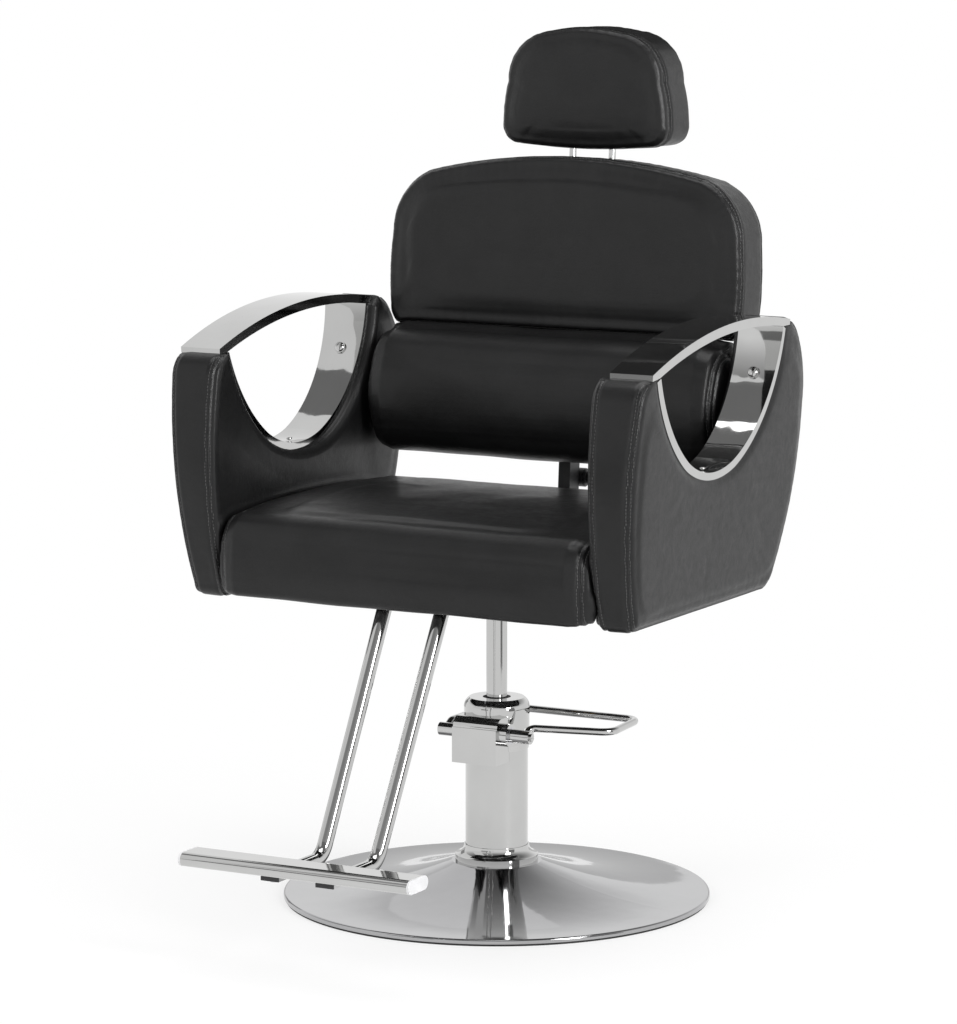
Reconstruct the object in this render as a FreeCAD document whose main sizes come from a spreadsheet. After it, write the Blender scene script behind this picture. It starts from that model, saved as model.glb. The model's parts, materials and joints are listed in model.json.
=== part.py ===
"""Threading chair: a hydraulic salon chair with a reclining back, a lift-out headrest and a footrest.

Millimetres. The origin lies on the floor at the middle of the round base, +Z is up and the sitter looks towards -Y,
so +X is on the sitter's left hand.
"""
import FreeCAD, Part
import Sketcher
import math
import os

# Driving dimensions: alias, value

SIZES = (
    # Cuts run past what they cut by this much
    ("overrun", 2),
    # Fits: a running fit on a radius, a slack fit, and the gap a soft pad keeps
    ("running_gap", 0.05),
    ("slack_gap", 0.2),
    ("pad_gap", 0.3),
    # Round base
    ("base_radius", 290),
    ("base_rim_height", 6),
    ("base_rim_radius", 3),
    ("base_height", 50),
    ("base_sheet", 2.5),
    ("base_waist_radius", 165),
    ("base_waist_height", 20),
    ("base_crown_radius", 61),
    ("gasket_height", 3),
    ("gasket_width", 44),
    ("gasket_inset", 2),
    ("ballast_inset", 40),
    ("ballast_thickness", 3),
    # Pump
    ("tube_radius", 42.5),
    ("tube_wall", 3),
    ("tube_foot_height", 12),
    ("tube_top_height", 214),
    ("flange_radius", 54.5),
    ("flange_thickness", 5),
    ("tie_pitch_radius", 48),
    ("tie_radius", 3),
    ("tie_head_radius", 4.5),
    ("tie_head_height", 3),
    ("tie_count", 4),
    ("collar_radius", 56.5),
    ("collar_lip", 9),
    ("collar_height", 23),
    ("collar_sheet", 1.2),
    ("plug_thickness", 10),
    ("plug_spigot", 5),
    ("cylinder_bore", 19.05),
    ("cylinder_wall", 4.95),
    # Pump head
    ("head_radius", 44.5),
    ("head_top_radius", 39),
    ("head_rise", 61),
    ("head_skirt", 8),
    ("head_skirt_radius", 43.6),
    ("head_shoulder", 14),
    ("head_shoulder_radius", 43.2),
    ("head_floor", 5),
    ("head_bevel", 1.5),
    ("bush_wall", 4),
    ("wiper_wall", 5),
    ("wiper_height", 5),
    ("wiper_proud", 1),
    ("housing_half_width", 33.5),
    ("housing_front", 65),
    ("housing_back", 20),
    ("housing_drop", 21),
    ("housing_step", 20),
    ("housing_round", 14),
    ("cover_thickness", 3),
    ("boss_radius", 15.5),
    ("boss_length", 12.5),
    ("cavity_half_width", 9),
    ("cavity_front", 60),
    ("cavity_back", 26),
    ("housing_roof", 8),
    # Foot pedal
    ("pedal_axis_front", 45),
    ("pedal_axis_drop", 22),
    ("pedal_shaft_radius", 9),
    ("pedal_shaft_left", 62),
    ("pedal_shaft_right", 76),
    ("pedal_bush_wall", 3),
    ("pedal_rod_radius", 5),
    ("pedal_rod_left", 54),
    ("pedal_rod_right", 66),
    ("pedal_rod_rise", 9.5),
    ("pedal_rod_jog", 16),
    ("pedal_loop_back", 93),
    ("pedal_loop_reach", 176),
    ("pedal_loop_far_reach", 168),
    ("pedal_loop_near", 3),
    ("pedal_bend_radius", 20),
    ("pedal_jog_radius", 11),
    ("screw_head_radius", 5),
    ("screw_head_height", 2.5),
    ("screw_slot", 1.4),
    ("cam_radius", 11),
    ("cam_half_width", 7),
    ("cam_reach", 14.5),
    ("cam_nose_radius", 4),
    ("plunger_radius", 3.5),
    ("plunger_length", 43.8),
    ("barrel_wall", 2.15),
    ("barrel_length", 64),
    ("barrel_floor", 2),
    ("spring_wire", 1.1),
    ("spring_turns", 8),
    # Lift piston, drawn at rest
    ("piston_radius", 14),
    ("piston_hold", 74),
    ("piston_neck_radius", 9),
    ("piston_head_height", 22),
    ("seal_depth", 3),
    ("seal_height", 5),
    ("spigot_radius", 12),
    ("spigot_length", 44),
    ("washer_radius", 19),
    ("washer_thickness", 2),
    # Seat carrier under the seat
    ("hub_height", 47),
    ("hub_radius", 23),
    ("hub_foot_radius", 20),
    ("hub_foot_bevel", 5),
    ("hub_flange_radius", 34),
    ("hub_flange_height", 3),
    ("mount_plate_height", 439),
    ("mount_plate_thickness", 6),
    ("mount_plate_half_width", 80),
    ("mount_plate_half_depth", 95),
    ("rail_size", 25),
    ("rail_wall", 2),
    ("rail_half_spacing", 62.5),
    ("front_rail_set_back", 52),
    ("rear_rail_set_in", 17),
    ("end_plate_thickness", 4),
    ("end_plate_width", 56),
    ("end_plate_drop", 15),
    ("bolt_radius", 4),
    ("bolt_head_across", 13),
    ("bolt_head_height", 5.3),
    ("mount_bolt_back", 75),
    ("arm_bolt_spread", 20.5),
    ("arm_bolt_length", 34),
    # Seat
    ("seat_half_width", 276),
    ("seat_front", 275),
    ("seat_back", 165),
    ("seat_skirt_drop", 52),
    ("seat_pad_height", 56),
    ("seat_crown", 7),
    ("seat_front_bulge", 5),
    ("seat_front_round", 34),
    ("seat_rear_round", 24),
    ("seat_low_round", 9),
    ("seat_corner_round", 30),
    ("seat_front_skirt", 25),
    ("seat_rear_skirt", 20),
    ("board_thickness", 15),
    ("seat_slot_half_width", 18),
    ("seat_slot_rise", 10),
    # Arms
    ("arm_lead", 2),
    ("arm_length", 515),
    ("arm_drop", 7),
    ("arm_height", 372),
    ("arm_gap", 0.5),
    ("arm_face_thickness", 12.5),
    ("arm_foot_width", 38.5),
    ("arm_top_width", 63.5),
    ("arm_edge_round", 12),
    ("core_inset", 2),
    ("core_thickness", 16),
    ("liner_flange", 1.5),
    ("armrest_wall", 3),
    ("dome_radius", 8.5),
    ("dome_height", 6.5),
    ("dome_base", 2.5),
    ("liner_screw_radius", 4),
    ("liner_screw_height", 1.8),
    # Footrest
    ("foot_tube_radius", 10),
    ("foot_tube_wall", 1.5),
    ("foot_tube_top_rise", 23),
    ("foot_tube_lead", 12),
    ("foot_tube_low_height", 126.5),
    ("foot_tube_low_front", 399),
    ("foot_tube_end_front", 478),
    ("foot_tube_top_spread", 43),
    ("foot_tube_low_spread", 40),
    ("foot_tube_bend", 34),
    ("foot_tongue_half_width", 13),
    ("foot_tongue_thickness", 7),
    ("foot_tongue_length", 47),
    ("foot_bar_half_length", 165),
    ("foot_bar_front", 540),
    ("foot_bar_depth", 50),
    ("foot_bar_height", 18),
    ("foot_bar_wall", 2),
    ("foot_cap_thickness", 3),
    ("foot_plug_thickness", 2),
    ("foot_screw_radius", 3),
    ("foot_screw_head_radius", 5.5),
    ("foot_screw_head_height", 2.5),
    ("socket_wall", 3),
    ("socket_length", 26),
    ("socket_plate_half_width", 62),
    ("socket_plate_thickness", 5),
    # Recline joint
    ("recline_axis_back", 206),
    ("recline_axis_rise", 30),
    ("lean_angle", 4),
    ("bracket_half_gap", 9.5),
    ("bracket_thickness", 5),
    ("bracket_boss_radius", 17),
    ("recline_pin_radius", 8),
    ("pin_head_radius", 12),
    ("pin_head_thickness", 3),
    ("upright_half_width", 9),
    ("upright_depth", 28),
    ("upright_wall", 3),
    ("upright_drop", 61),
    ("crank_length", 43.5),
    ("crank_angle", 20),
    ("crank_cheek", 3.6),
    ("crank_boss_radius", 9),
    ("crank_pin_radius", 4),
    ("strut_radius", 11),
    ("strut_wall", 2),
    ("strut_front", 118),
    ("strut_rear", 22),
    ("strut_rod_radius", 5),
    ("strut_piston_front", 52),
    ("strut_piston_length", 10),
    ("strut_eye_radius", 9),
    ("strut_eye_half_width", 4.5),
    ("strut_pin_front", 140),
    ("strut_slack", 0.6),
    ("clevis_thickness", 4),
    # Back
    ("back_side_gap", 7.5),
    ("back_depth", 94),
    ("back_gap", 4),
    ("back_height", 237),
    ("back_shoulder_in", 57),
    ("back_shoulder_drop", 25),
    ("back_side_rise", 126),
    ("back_low_round", 18),
    ("back_edge_round", 14),
    ("back_rear_round", 26),
    ("back_crown", 7),
    ("back_board_thickness", 12),
    ("back_board_margin", 45),
    ("back_board_cover", 20),
    ("lumbar_side_gap", 4.5),
    ("lumbar_depth", 88),
    ("lumbar_gap", 34),
    ("lumbar_height", 175),
    ("lumbar_round", 34),
    ("lumbar_crown", 10),
    ("lumbar_end_round", 34),
    ("lumbar_board_thickness", 12),
    ("lumbar_board_margin", 30),
    # Recline lever
    ("lever_set_back", 26),
    ("lever_rise", 48),
    ("lever_radius", 8),
    ("lever_boss_wall", 5),
    ("lever_boss_half_width", 13),
    ("lever_left", 20),
    ("lever_overhang", 13.5),
    ("lever_collar_radius", 11),
    ("lever_collar_width", 4),
    ("lever_arm_length", 55),
    ("lever_arm_drop_angle", 35),
    ("lever_arm_width", 16),
    ("lever_arm_thickness", 6),
    ("lever_grip_radius", 10),
    ("lever_grip_length", 34),
    # Headrest
    ("post_half_spacing", 30.5),
    ("post_radius", 5),
    ("post_stand_off", 11.5),
    ("post_foot_rise", 6),
    ("post_reach", 92),
    ("socket_tube_wall", 3),
    ("socket_tube_length", 116),
    ("socket_drop", 15),
    ("post_plate_height", 34),
    ("post_plate_half_width", 62),
    ("post_plate_thickness", 3),
    ("headrest_half_width", 127),
    ("headrest_shoulder_in", 72),
    ("headrest_side_in", 8),
    ("headrest_set_back", 1.5),
    ("headrest_depth", 90),
    ("headrest_gap", 9),
    ("headrest_height", 167),
    ("headrest_low_round", 26),
    ("headrest_low_rise", 36),
    ("headrest_side_drop", 75),
    ("headrest_shoulder_drop", 6),
    ("headrest_edge_round", 14),
    ("headrest_crown", 8),
)


# Places and sizes that follow from the ones above: alias, formula

FOLLOWING = (
    ("ballast_radius", "base_radius - ballast_inset"),
    ("head_top_height", "tube_top_height + head_rise"),
    ("housing_bottom_height", "tube_top_height - housing_drop"),
    ("housing_top_height", "head_top_height - housing_step"),
    ("cavity_top_height", "housing_top_height - housing_roof"),
    ("pedal_axis_height", "housing_top_height - pedal_axis_drop"),
    ("piston_foot_height", "tube_top_height - piston_hold"),
    ("piston_shoulder_height", "mount_plate_height - hub_height"),
    ("rail_top_height", "mount_plate_height + mount_plate_thickness + rail_size"),
    ("board_top_height", "rail_top_height + board_thickness"),
    ("front_rail_front", "seat_front - seat_front_skirt - front_rail_set_back"),
    ("rear_rail_back", "seat_back - seat_rear_skirt - rear_rail_set_in"),
    ("seat_bottom_height", "board_top_height - seat_skirt_drop"),
    ("seat_top_height", "board_top_height + seat_pad_height"),
    ("arm_front", "seat_front + arm_lead"),
    ("arm_bottom_height", "seat_bottom_height - arm_drop"),
    ("arm_inner", "seat_half_width + arm_gap"),
    ("liner_inner", "arm_inner + arm_face_thickness"),
    ("foot_tube_top_height", "mount_plate_height + foot_tube_top_rise"),
    ("foot_tube_top_front", "front_rail_front + foot_tube_lead"),
    ("recline_axis_height", "rail_top_height + recline_axis_rise"),
    ("upright_rear", "recline_axis_back + upright_depth / 2"),
    ("lumbar_half_width", "arm_inner - lumbar_side_gap"),
    ("lumbar_front", "recline_axis_back - upright_depth / 2 - lumbar_board_thickness - lumbar_depth"),
    ("lumbar_bottom_height", "seat_top_height + lumbar_gap"),
    ("lumbar_top_height", "lumbar_bottom_height + lumbar_height"),
    ("back_half_width", "arm_inner - back_side_gap"),
    ("back_front", "upright_rear + back_board_thickness + back_board_cover - back_depth"),
    ("back_bottom_height", "lumbar_top_height + back_gap"),
    ("back_top_height", "back_bottom_height + back_height"),
    ("back_shoulder_half_width", "back_half_width - back_shoulder_in"),
    ("back_shoulder_height", "back_top_height - back_shoulder_drop"),
    ("back_side_height", "back_bottom_height + back_side_rise"),
    ("upright_top_height", "back_top_height - upright_drop"),
    ("lever_back", "recline_axis_back + lever_set_back"),
    ("lever_height", "recline_axis_height + lever_rise"),
    ("lever_right", "arm_inner + lever_overhang"),
    ("headrest_bottom_height", "back_top_height + headrest_gap"),
    ("headrest_top_height", "headrest_bottom_height + headrest_height"),
    ("headrest_shoulder_half_width", "headrest_half_width - headrest_shoulder_in"),
    ("headrest_side_half_width", "headrest_half_width - headrest_side_in"),
    ("post_back", "upright_rear + back_board_thickness + post_stand_off"),
    ("headrest_front", "post_back + headrest_set_back"),
    ("socket_top_height", "back_top_height - socket_drop"),
    ("socket_foot_height", "socket_top_height - socket_tube_length"),
    ("post_foot_height", "socket_foot_height + post_foot_rise"),
    ("post_top_height", "headrest_bottom_height + post_reach"),
)


class Size:
    """A value of the sheet, or what is worked out of such values, with the expression that says so."""

    def __init__(self, value, text):
        self.value = float(value)
        self.text = text

    def __float__(self):
        return self.value

    def _with(self, other, sign, value, swap=False):
        pair = (self.text, words(other))
        if swap:
            pair = (pair[1], pair[0])
        return Size(value, "(%s %s %s)" % (pair[0], sign, pair[1]))

    def __add__(self, other):
        return self._with(other, "+", self.value + float(other))

    def __sub__(self, other):
        return self._with(other, "-", self.value - float(other))

    def __mul__(self, other):
        return self._with(other, "*", self.value * float(other))

    def __truediv__(self, other):
        return self._with(other, "/", self.value / float(other))

    def __radd__(self, other):
        return self._with(other, "+", float(other) + self.value, True)

    def __rsub__(self, other):
        return self._with(other, "-", float(other) - self.value, True)

    def __rmul__(self, other):
        return self._with(other, "*", float(other) * self.value, True)

    def __neg__(self):
        return Size(-self.value, "(0 - %s)" % self.text)


def words(value):
    """What an expression calls a value."""
    return value.text if isinstance(value, Size) else repr(float(value))


class Sheet:
    """The spreadsheet's aliases as attributes."""


def fill_sheet(doc):
    table = doc.addObject("Spreadsheet::Sheet", "Sizes")
    rows = list(SIZES) + [(alias, "=" + formula) for alias, formula in FOLLOWING]
    for row, (alias, content) in enumerate(rows, start=1):
        table.set("A%d" % row, alias)
        table.set("B%d" % row, str(content))
        table.setAlias("B%d" % row, alias)
    doc.recompute()
    sheet = Sheet()
    for alias, content in rows:
        setattr(sheet, alias, Size(table.get(alias), "Sizes." + alias))
    return sheet


doc = FreeCAD.newDocument("threading_chair")
S = fill_sheet(doc)
NODES = {}

# Small tools


def vec(x, y, z):
    return FreeCAD.Vector(float(x), float(y), float(z))


def node(label, thing):
    """Names a finished sub-part, whose label is its file's name."""
    thing.Label = label
    NODES[label] = thing
    return thing


def bind(thing, prop, size):
    thing.setExpression(prop, words(size))


TURNS = {
    "x": FreeCAD.Rotation(FreeCAD.Vector(0, 1, 0), 90),
    "y": FreeCAD.Rotation(FreeCAD.Vector(1, 0, 0), -90),
    "z": FreeCAD.Rotation(),
}


def place(thing, at, turn=TURNS["z"]):
    """Puts a primitive at a corner or foot whose coordinates are bound to the sheet."""
    thing.Placement = FreeCAD.Placement(vec(*at), turn)
    for axis, size in zip("xyz", at):
        bind(thing, "Placement.Base." + axis, size)
    return thing


def box(name, low, high):
    """A block between two corners."""
    thing = doc.addObject("Part::Box", name)
    for prop, a, b in zip(("Length", "Width", "Height"), low, high):
        bind(thing, prop, b - a)
    return place(thing, low)


def rod(name, radius, start, length, axis="z"):
    """A cylinder from its start along an axis."""
    thing = doc.addObject("Part::Cylinder", name)
    bind(thing, "Radius", radius)
    bind(thing, "Height", length)
    return place(thing, start, TURNS[axis])


def hexagon(name, across, start, height, axis="z"):
    """A hexagonal prism, such as a bolt's head."""
    thing = doc.addObject("Part::Prism", name)
    thing.Polygon = 6
    bind(thing, "Circumradius", across / math.sqrt(3))
    bind(thing, "Height", height)
    return place(thing, start, TURNS[axis])


def join(name, things):
    thing = doc.addObject("Part::MultiFuse", name)
    thing.Shapes = things
    return thing


def group(name, things):
    """Separate solids under one name."""
    thing = doc.addObject("Part::Compound", name)
    thing.Links = things
    return thing


def cut(name, base, tools):
    tool = tools[0] if len(tools) == 1 else join(name + "_tools", tools)
    thing = doc.addObject("Part::Cut", name)
    thing.Base = base
    thing.Tool = tool
    return thing


def shaped(name, shape):
    """A piece that no single feature makes, from a shape worked out here."""
    thing = doc.addObject("Part::Feature", name)
    thing.Shape = shape
    return thing


def pin_point(sketch, geometry, end, point):
    """Holds a point of a sketch at its place by the sheet's values."""
    for kind, value, axis in zip(("DistanceX", "DistanceY"), point, (-2, -1)):
        if isinstance(value, Size):
            index = sketch.addConstraint(Sketcher.Constraint(kind, geometry, end, value.value))
            bind(sketch, "Constraints[%d]" % index, value)
        else:
            sketch.addConstraint(Sketcher.Constraint("PointOnObject", geometry, end, axis))


def draw(sketch, start, steps):
    """A closed outline: a step is a point to draw a line to, or a pair of points, an arc's middle and end."""
    here = start
    ends = []
    for step in steps:
        arc = isinstance(step[0], tuple)
        middle, there = step if arc else (None, step)
        a, b = vec(*here, 0), vec(*there, 0)
        if not arc:
            index = sketch.addGeometry(Part.LineSegment(a, b))
            ends.append((index, 1, 2))
        else:
            m = vec(*middle, 0)
            left_turn = (m - a).cross(b - m).z > 0
            curve = Part.Arc(a, m, b) if left_turn else Part.Arc(b, m, a)
            index = sketch.addGeometry(curve)
            ends.append((index, 1, 2) if left_turn else (index, 2, 1))
            mark = sketch.addGeometry(Part.Point(m), True)
            pin_point(sketch, mark, 1, middle)
            sketch.addConstraint(Sketcher.Constraint("PointOnObject", mark, 1, index))
        pin_point(sketch, index, ends[-1][1], here)
        here = there
    for this, following in zip(ends, ends[1:] + ends[:1]):
        sketch.addConstraint(Sketcher.Constraint("Coincident", this[0], this[2], following[0], following[1]))


def circle(sketch, centre, radius):
    index = sketch.addGeometry(Part.Circle(vec(*centre, 0), vec(0, 0, 1), float(radius)))
    pin_point(sketch, index, 3, centre)
    bound = sketch.addConstraint(Sketcher.Constraint("Radius", index, float(radius)))
    bind(sketch, "Constraints[%d]" % bound, radius)


def sketch_on(body, name, role, offset=0):
    """A sketch on one of the body's own origin planes, moved along its normal."""
    sketch = body.newObject("Sketcher::SketchObject", name)
    plane = [face for face in body.Origin.OriginFeatures if face.Role == role][0]
    sketch.AttachmentSupport = [(plane, "")]
    sketch.MapMode = "FlatFace"
    sketch.AttachmentOffset = FreeCAD.Placement(vec(0, 0, offset), FreeCAD.Rotation())
    bind(sketch, "AttachmentOffset.Base.z", offset)
    return sketch


def turned(name, start, *steps):
    """A body of revolution about Z from its outline in radius and height."""
    body = doc.addObject("PartDesign::Body", name)
    sketch = sketch_on(body, name + "_outline", "XZ_Plane")
    draw(sketch, start, steps)
    turn = body.newObject("PartDesign::Revolution", name + "_turn")
    turn.Profile = sketch
    turn.ReferenceAxis = (sketch, ["V_Axis"])
    turn.Angle = 360
    sketch.Visibility = False
    return body


def padded(name, role, offset, thickness, start, steps, holes=(), both_ways=False):
    """A body padded from an outline, with round holes given as centre and radius."""
    body = doc.addObject("PartDesign::Body", name)
    sketch = sketch_on(body, name + "_outline", role, offset)
    draw(sketch, start, steps)
    for centre, radius in holes:
        circle(sketch, centre, radius)
    pad = body.newObject("PartDesign::Pad", name + "_pad")
    pad.Profile = sketch
    if both_ways:
        pad.Midplane = True
    bind(pad, "Length", thickness)
    return body


def drill_ring(body, name, height, depth, pitch_radius, radius, count):
    """Round holes on a circle about Z, cut downwards from a height."""
    sketch = sketch_on(body, name + "_sketch", "XY_Plane", height)
    circle(sketch, (pitch_radius, 0), radius)
    hole = body.newObject("PartDesign::Pocket", name + "_hole")
    hole.Profile = sketch
    bind(hole, "Length", depth)
    pattern = body.newObject("PartDesign::PolarPattern", name + "_pattern")
    pattern.Originals = [hole]
    pattern.Axis = (sketch, ["N_Axis"])
    pattern.Angle = 360
    bind(pattern, "Occurrences", count)
    body.Tip = pattern


def arc_edge(a, m, b):
    return Part.Arc(a, m, b).toShape()


def bent_path(points, radii):
    """Straight runs joined by tangent arcs, one radius for each inner point."""
    edges = []
    here = points[0]
    for before, corner, after, radius in zip(points, points[1:], points[2:], radii):
        inward = (before - corner).normalize()
        outward = (after - corner).normalize()
        half = inward.getAngle(outward) / 2
        run = float(radius) / math.tan(half)
        start = corner + inward * run
        end = corner + outward * run
        middle_way = (inward + outward).normalize()
        middle = corner + middle_way * (float(radius) / math.sin(half) - float(radius))
        edges.append(Part.LineSegment(here, start).toShape())
        edges.append(arc_edge(start, middle, end))
        here = end
    edges.append(Part.LineSegment(here, points[-1]).toShape())
    return Part.Wire(edges)


def bent_rod(name, points, radii, radius):
    """A round rod along a bent path: a swept circle whose radius is bound to the sheet."""
    path = shaped(name + "_path", bent_path(points, radii))
    section = doc.addObject("Part::Circle", name + "_section")
    bind(section, "Radius", radius)
    first = (points[1] - points[0]).normalize()
    section.Placement = FreeCAD.Placement(points[0], FreeCAD.Rotation(vec(0, 0, 1), first))
    sweep = doc.addObject("Part::Sweep", name)
    sweep.Sections = [section]
    sweep.Spine = (path, ["Edge%d" % (i + 1) for i in range(len(path.Shape.Edges))])
    sweep.Solid = True
    sweep.Frenet = False
    return sweep


def wire_of(start, steps, lift):
    """A closed wire of lines and arcs, with each flat point lifted into space."""
    edges = []
    here = lift(*start)
    for step in steps:
        if isinstance(step[0], tuple):
            middle, there = lift(*step[0]), lift(*step[1])
            edges.append(arc_edge(here, middle, there))
        else:
            there = lift(*step)
            edges.append(Part.LineSegment(here, there).toShape())
        here = there
    return Part.Wire(edges)


def loft(name, wires, ruled=True):
    return shaped(name, Part.makeLoft(wires, True, ruled))


# A pad's edge rounds over in these steps: share of the edge radius along the axis, and share drawn in
ROUND_OVER_SHARES = ((0, 1), (0.134, 0.5), (0.5, 0.134), (1, 0))


def both_ends(low, high, radius, far_radius):
    """Stations along an axis for a body with rounded ends: place, and how far the outline is drawn in there."""
    first = [(low + radius * along, radius * inset) for along, inset in ROUND_OVER_SHARES]
    last = [(high - far_radius * along, far_radius * inset) for along, inset in reversed(ROUND_OVER_SHARES)]
    return first + last


# Round base


def make_base():
    rim_foot = S.gasket_height
    rim_top = rim_foot + S.base_rim_height
    hole = S.tube_radius + S.slack_gap
    bevel = S.base_rim_radius * 0.3
    inner_rim = S.base_radius - S.base_sheet
    disc = turned(
        "base_disc_body",
        (S.base_radius, rim_foot),
        (S.base_radius, rim_top - S.base_rim_radius),
        ((S.base_radius - bevel, rim_top - bevel), (S.base_radius - S.base_rim_radius, rim_top)),
        ((S.base_waist_radius, S.base_waist_height), (S.base_crown_radius, S.base_height)),
        (hole, S.base_height),
        (hole, S.base_height - S.base_sheet),
        (S.base_crown_radius, S.base_height - S.base_sheet),
        ((S.base_waist_radius, S.base_waist_height - S.base_sheet), (inner_rim, rim_top - S.base_sheet)),
        (inner_rim, rim_foot),
        (S.base_radius, rim_foot),
    )
    depth = S.base_sheet + S.overrun
    drill_ring(disc, "disc_tie", S.base_height + S.overrun, depth + S.overrun, S.tie_pitch_radius,
               S.tie_radius + S.slack_gap, S.tie_count)
    node("base_disc", disc)

    gasket = cut(
        "gasket",
        rod("gasket_outer", S.base_radius - S.gasket_inset, (0, 0, 0), S.gasket_height),
        [rod("gasket_inner", S.base_radius - S.gasket_width, (0, 0, -S.overrun), S.gasket_height + S.overrun * 2)],
    )
    node("base_gasket", gasket)

    ballast = turned(
        "base_plate_body",
        (0, S.gasket_height),
        (S.ballast_radius, S.gasket_height),
        (S.ballast_radius, S.gasket_height + S.ballast_thickness),
        (0, S.gasket_height + S.ballast_thickness),
        (0, S.gasket_height),
    )
    drill_ring(ballast, "ballast_tie", S.gasket_height + S.ballast_thickness + S.overrun,
               S.ballast_thickness + S.overrun * 2, S.tie_pitch_radius, S.tie_radius, S.tie_count)
    node("base_plate", ballast)

    ties = []
    flange_top = S.base_height + S.flange_thickness
    for index in range(int(S.tie_count.value)):
        angle = 2 * math.pi * index / int(S.tie_count.value)
        x = S.tie_pitch_radius * math.cos(angle)
        y = S.tie_pitch_radius * math.sin(angle)
        shank = rod("tie_shank_%d" % index, S.tie_radius, (x, y, S.gasket_height), flange_top - S.gasket_height)
        head = rod("tie_head_%d" % index, S.tie_head_radius, (x, y, flange_top), S.tie_head_height)
        ties.append(join("tie_%d" % index, [shank, head]))
    node("base_tie_bolts", group("tie_bolts", ties))

    lip = S.base_height + S.collar_lip
    top = S.base_height + S.collar_height
    throat = S.tube_radius + S.slack_gap
    inner = S.collar_radius - S.collar_sheet
    collar = turned(
        "pump_collar_body",
        (inner, S.base_height),
        (S.collar_radius, S.base_height),
        (S.collar_radius, lip),
        ((throat + (S.collar_radius - throat) * 0.28, lip + (top - lip) * 0.42), (throat + S.collar_sheet, top)),
        (throat, top),
        (throat, top - S.collar_sheet),
        ((throat + (inner - throat) * 0.28, lip + (top - lip) * 0.34), (inner, lip - S.collar_sheet)),
        (inner, S.base_height),
    )
    node("pump_collar", collar)


# Pump


def make_pump():
    inner = S.tube_radius - S.tube_wall
    flange_top = S.base_height + S.flange_thickness
    tube = turned(
        "pump_tube_body",
        (inner, S.tube_foot_height),
        (S.tube_radius, S.tube_foot_height),
        (S.tube_radius, S.base_height),
        (S.flange_radius, S.base_height),
        (S.flange_radius, flange_top),
        (S.tube_radius, flange_top),
        (S.tube_radius, S.tube_top_height),
        (inner, S.tube_top_height),
        (inner, S.tube_foot_height),
    )
    drill_ring(tube, "flange_tie", flange_top + S.overrun, S.flange_thickness + S.overrun * 2, S.tie_pitch_radius,
               S.tie_radius + S.slack_gap, S.tie_count)
    node("pump_tube", tube)

    plug_top = S.tube_foot_height + S.plug_thickness
    spigot = S.cylinder_bore - S.running_gap
    plug = turned(
        "tube_plug_body",
        (0, S.tube_foot_height),
        (inner, S.tube_foot_height),
        (inner, plug_top),
        (spigot, plug_top),
        (spigot, plug_top + S.plug_spigot),
        (0, plug_top + S.plug_spigot),
        (0, S.tube_foot_height),
    )
    node("tube_plug", plug)

    outer = S.cylinder_bore + S.cylinder_wall
    cylinder = turned(
        "pressure_cylinder_body",
        (S.cylinder_bore, plug_top),
        (outer, plug_top),
        (outer, S.tube_top_height),
        (S.cylinder_bore, S.tube_top_height),
        (S.cylinder_bore, plug_top),
    )
    node("pressure_cylinder", cylinder)


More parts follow.
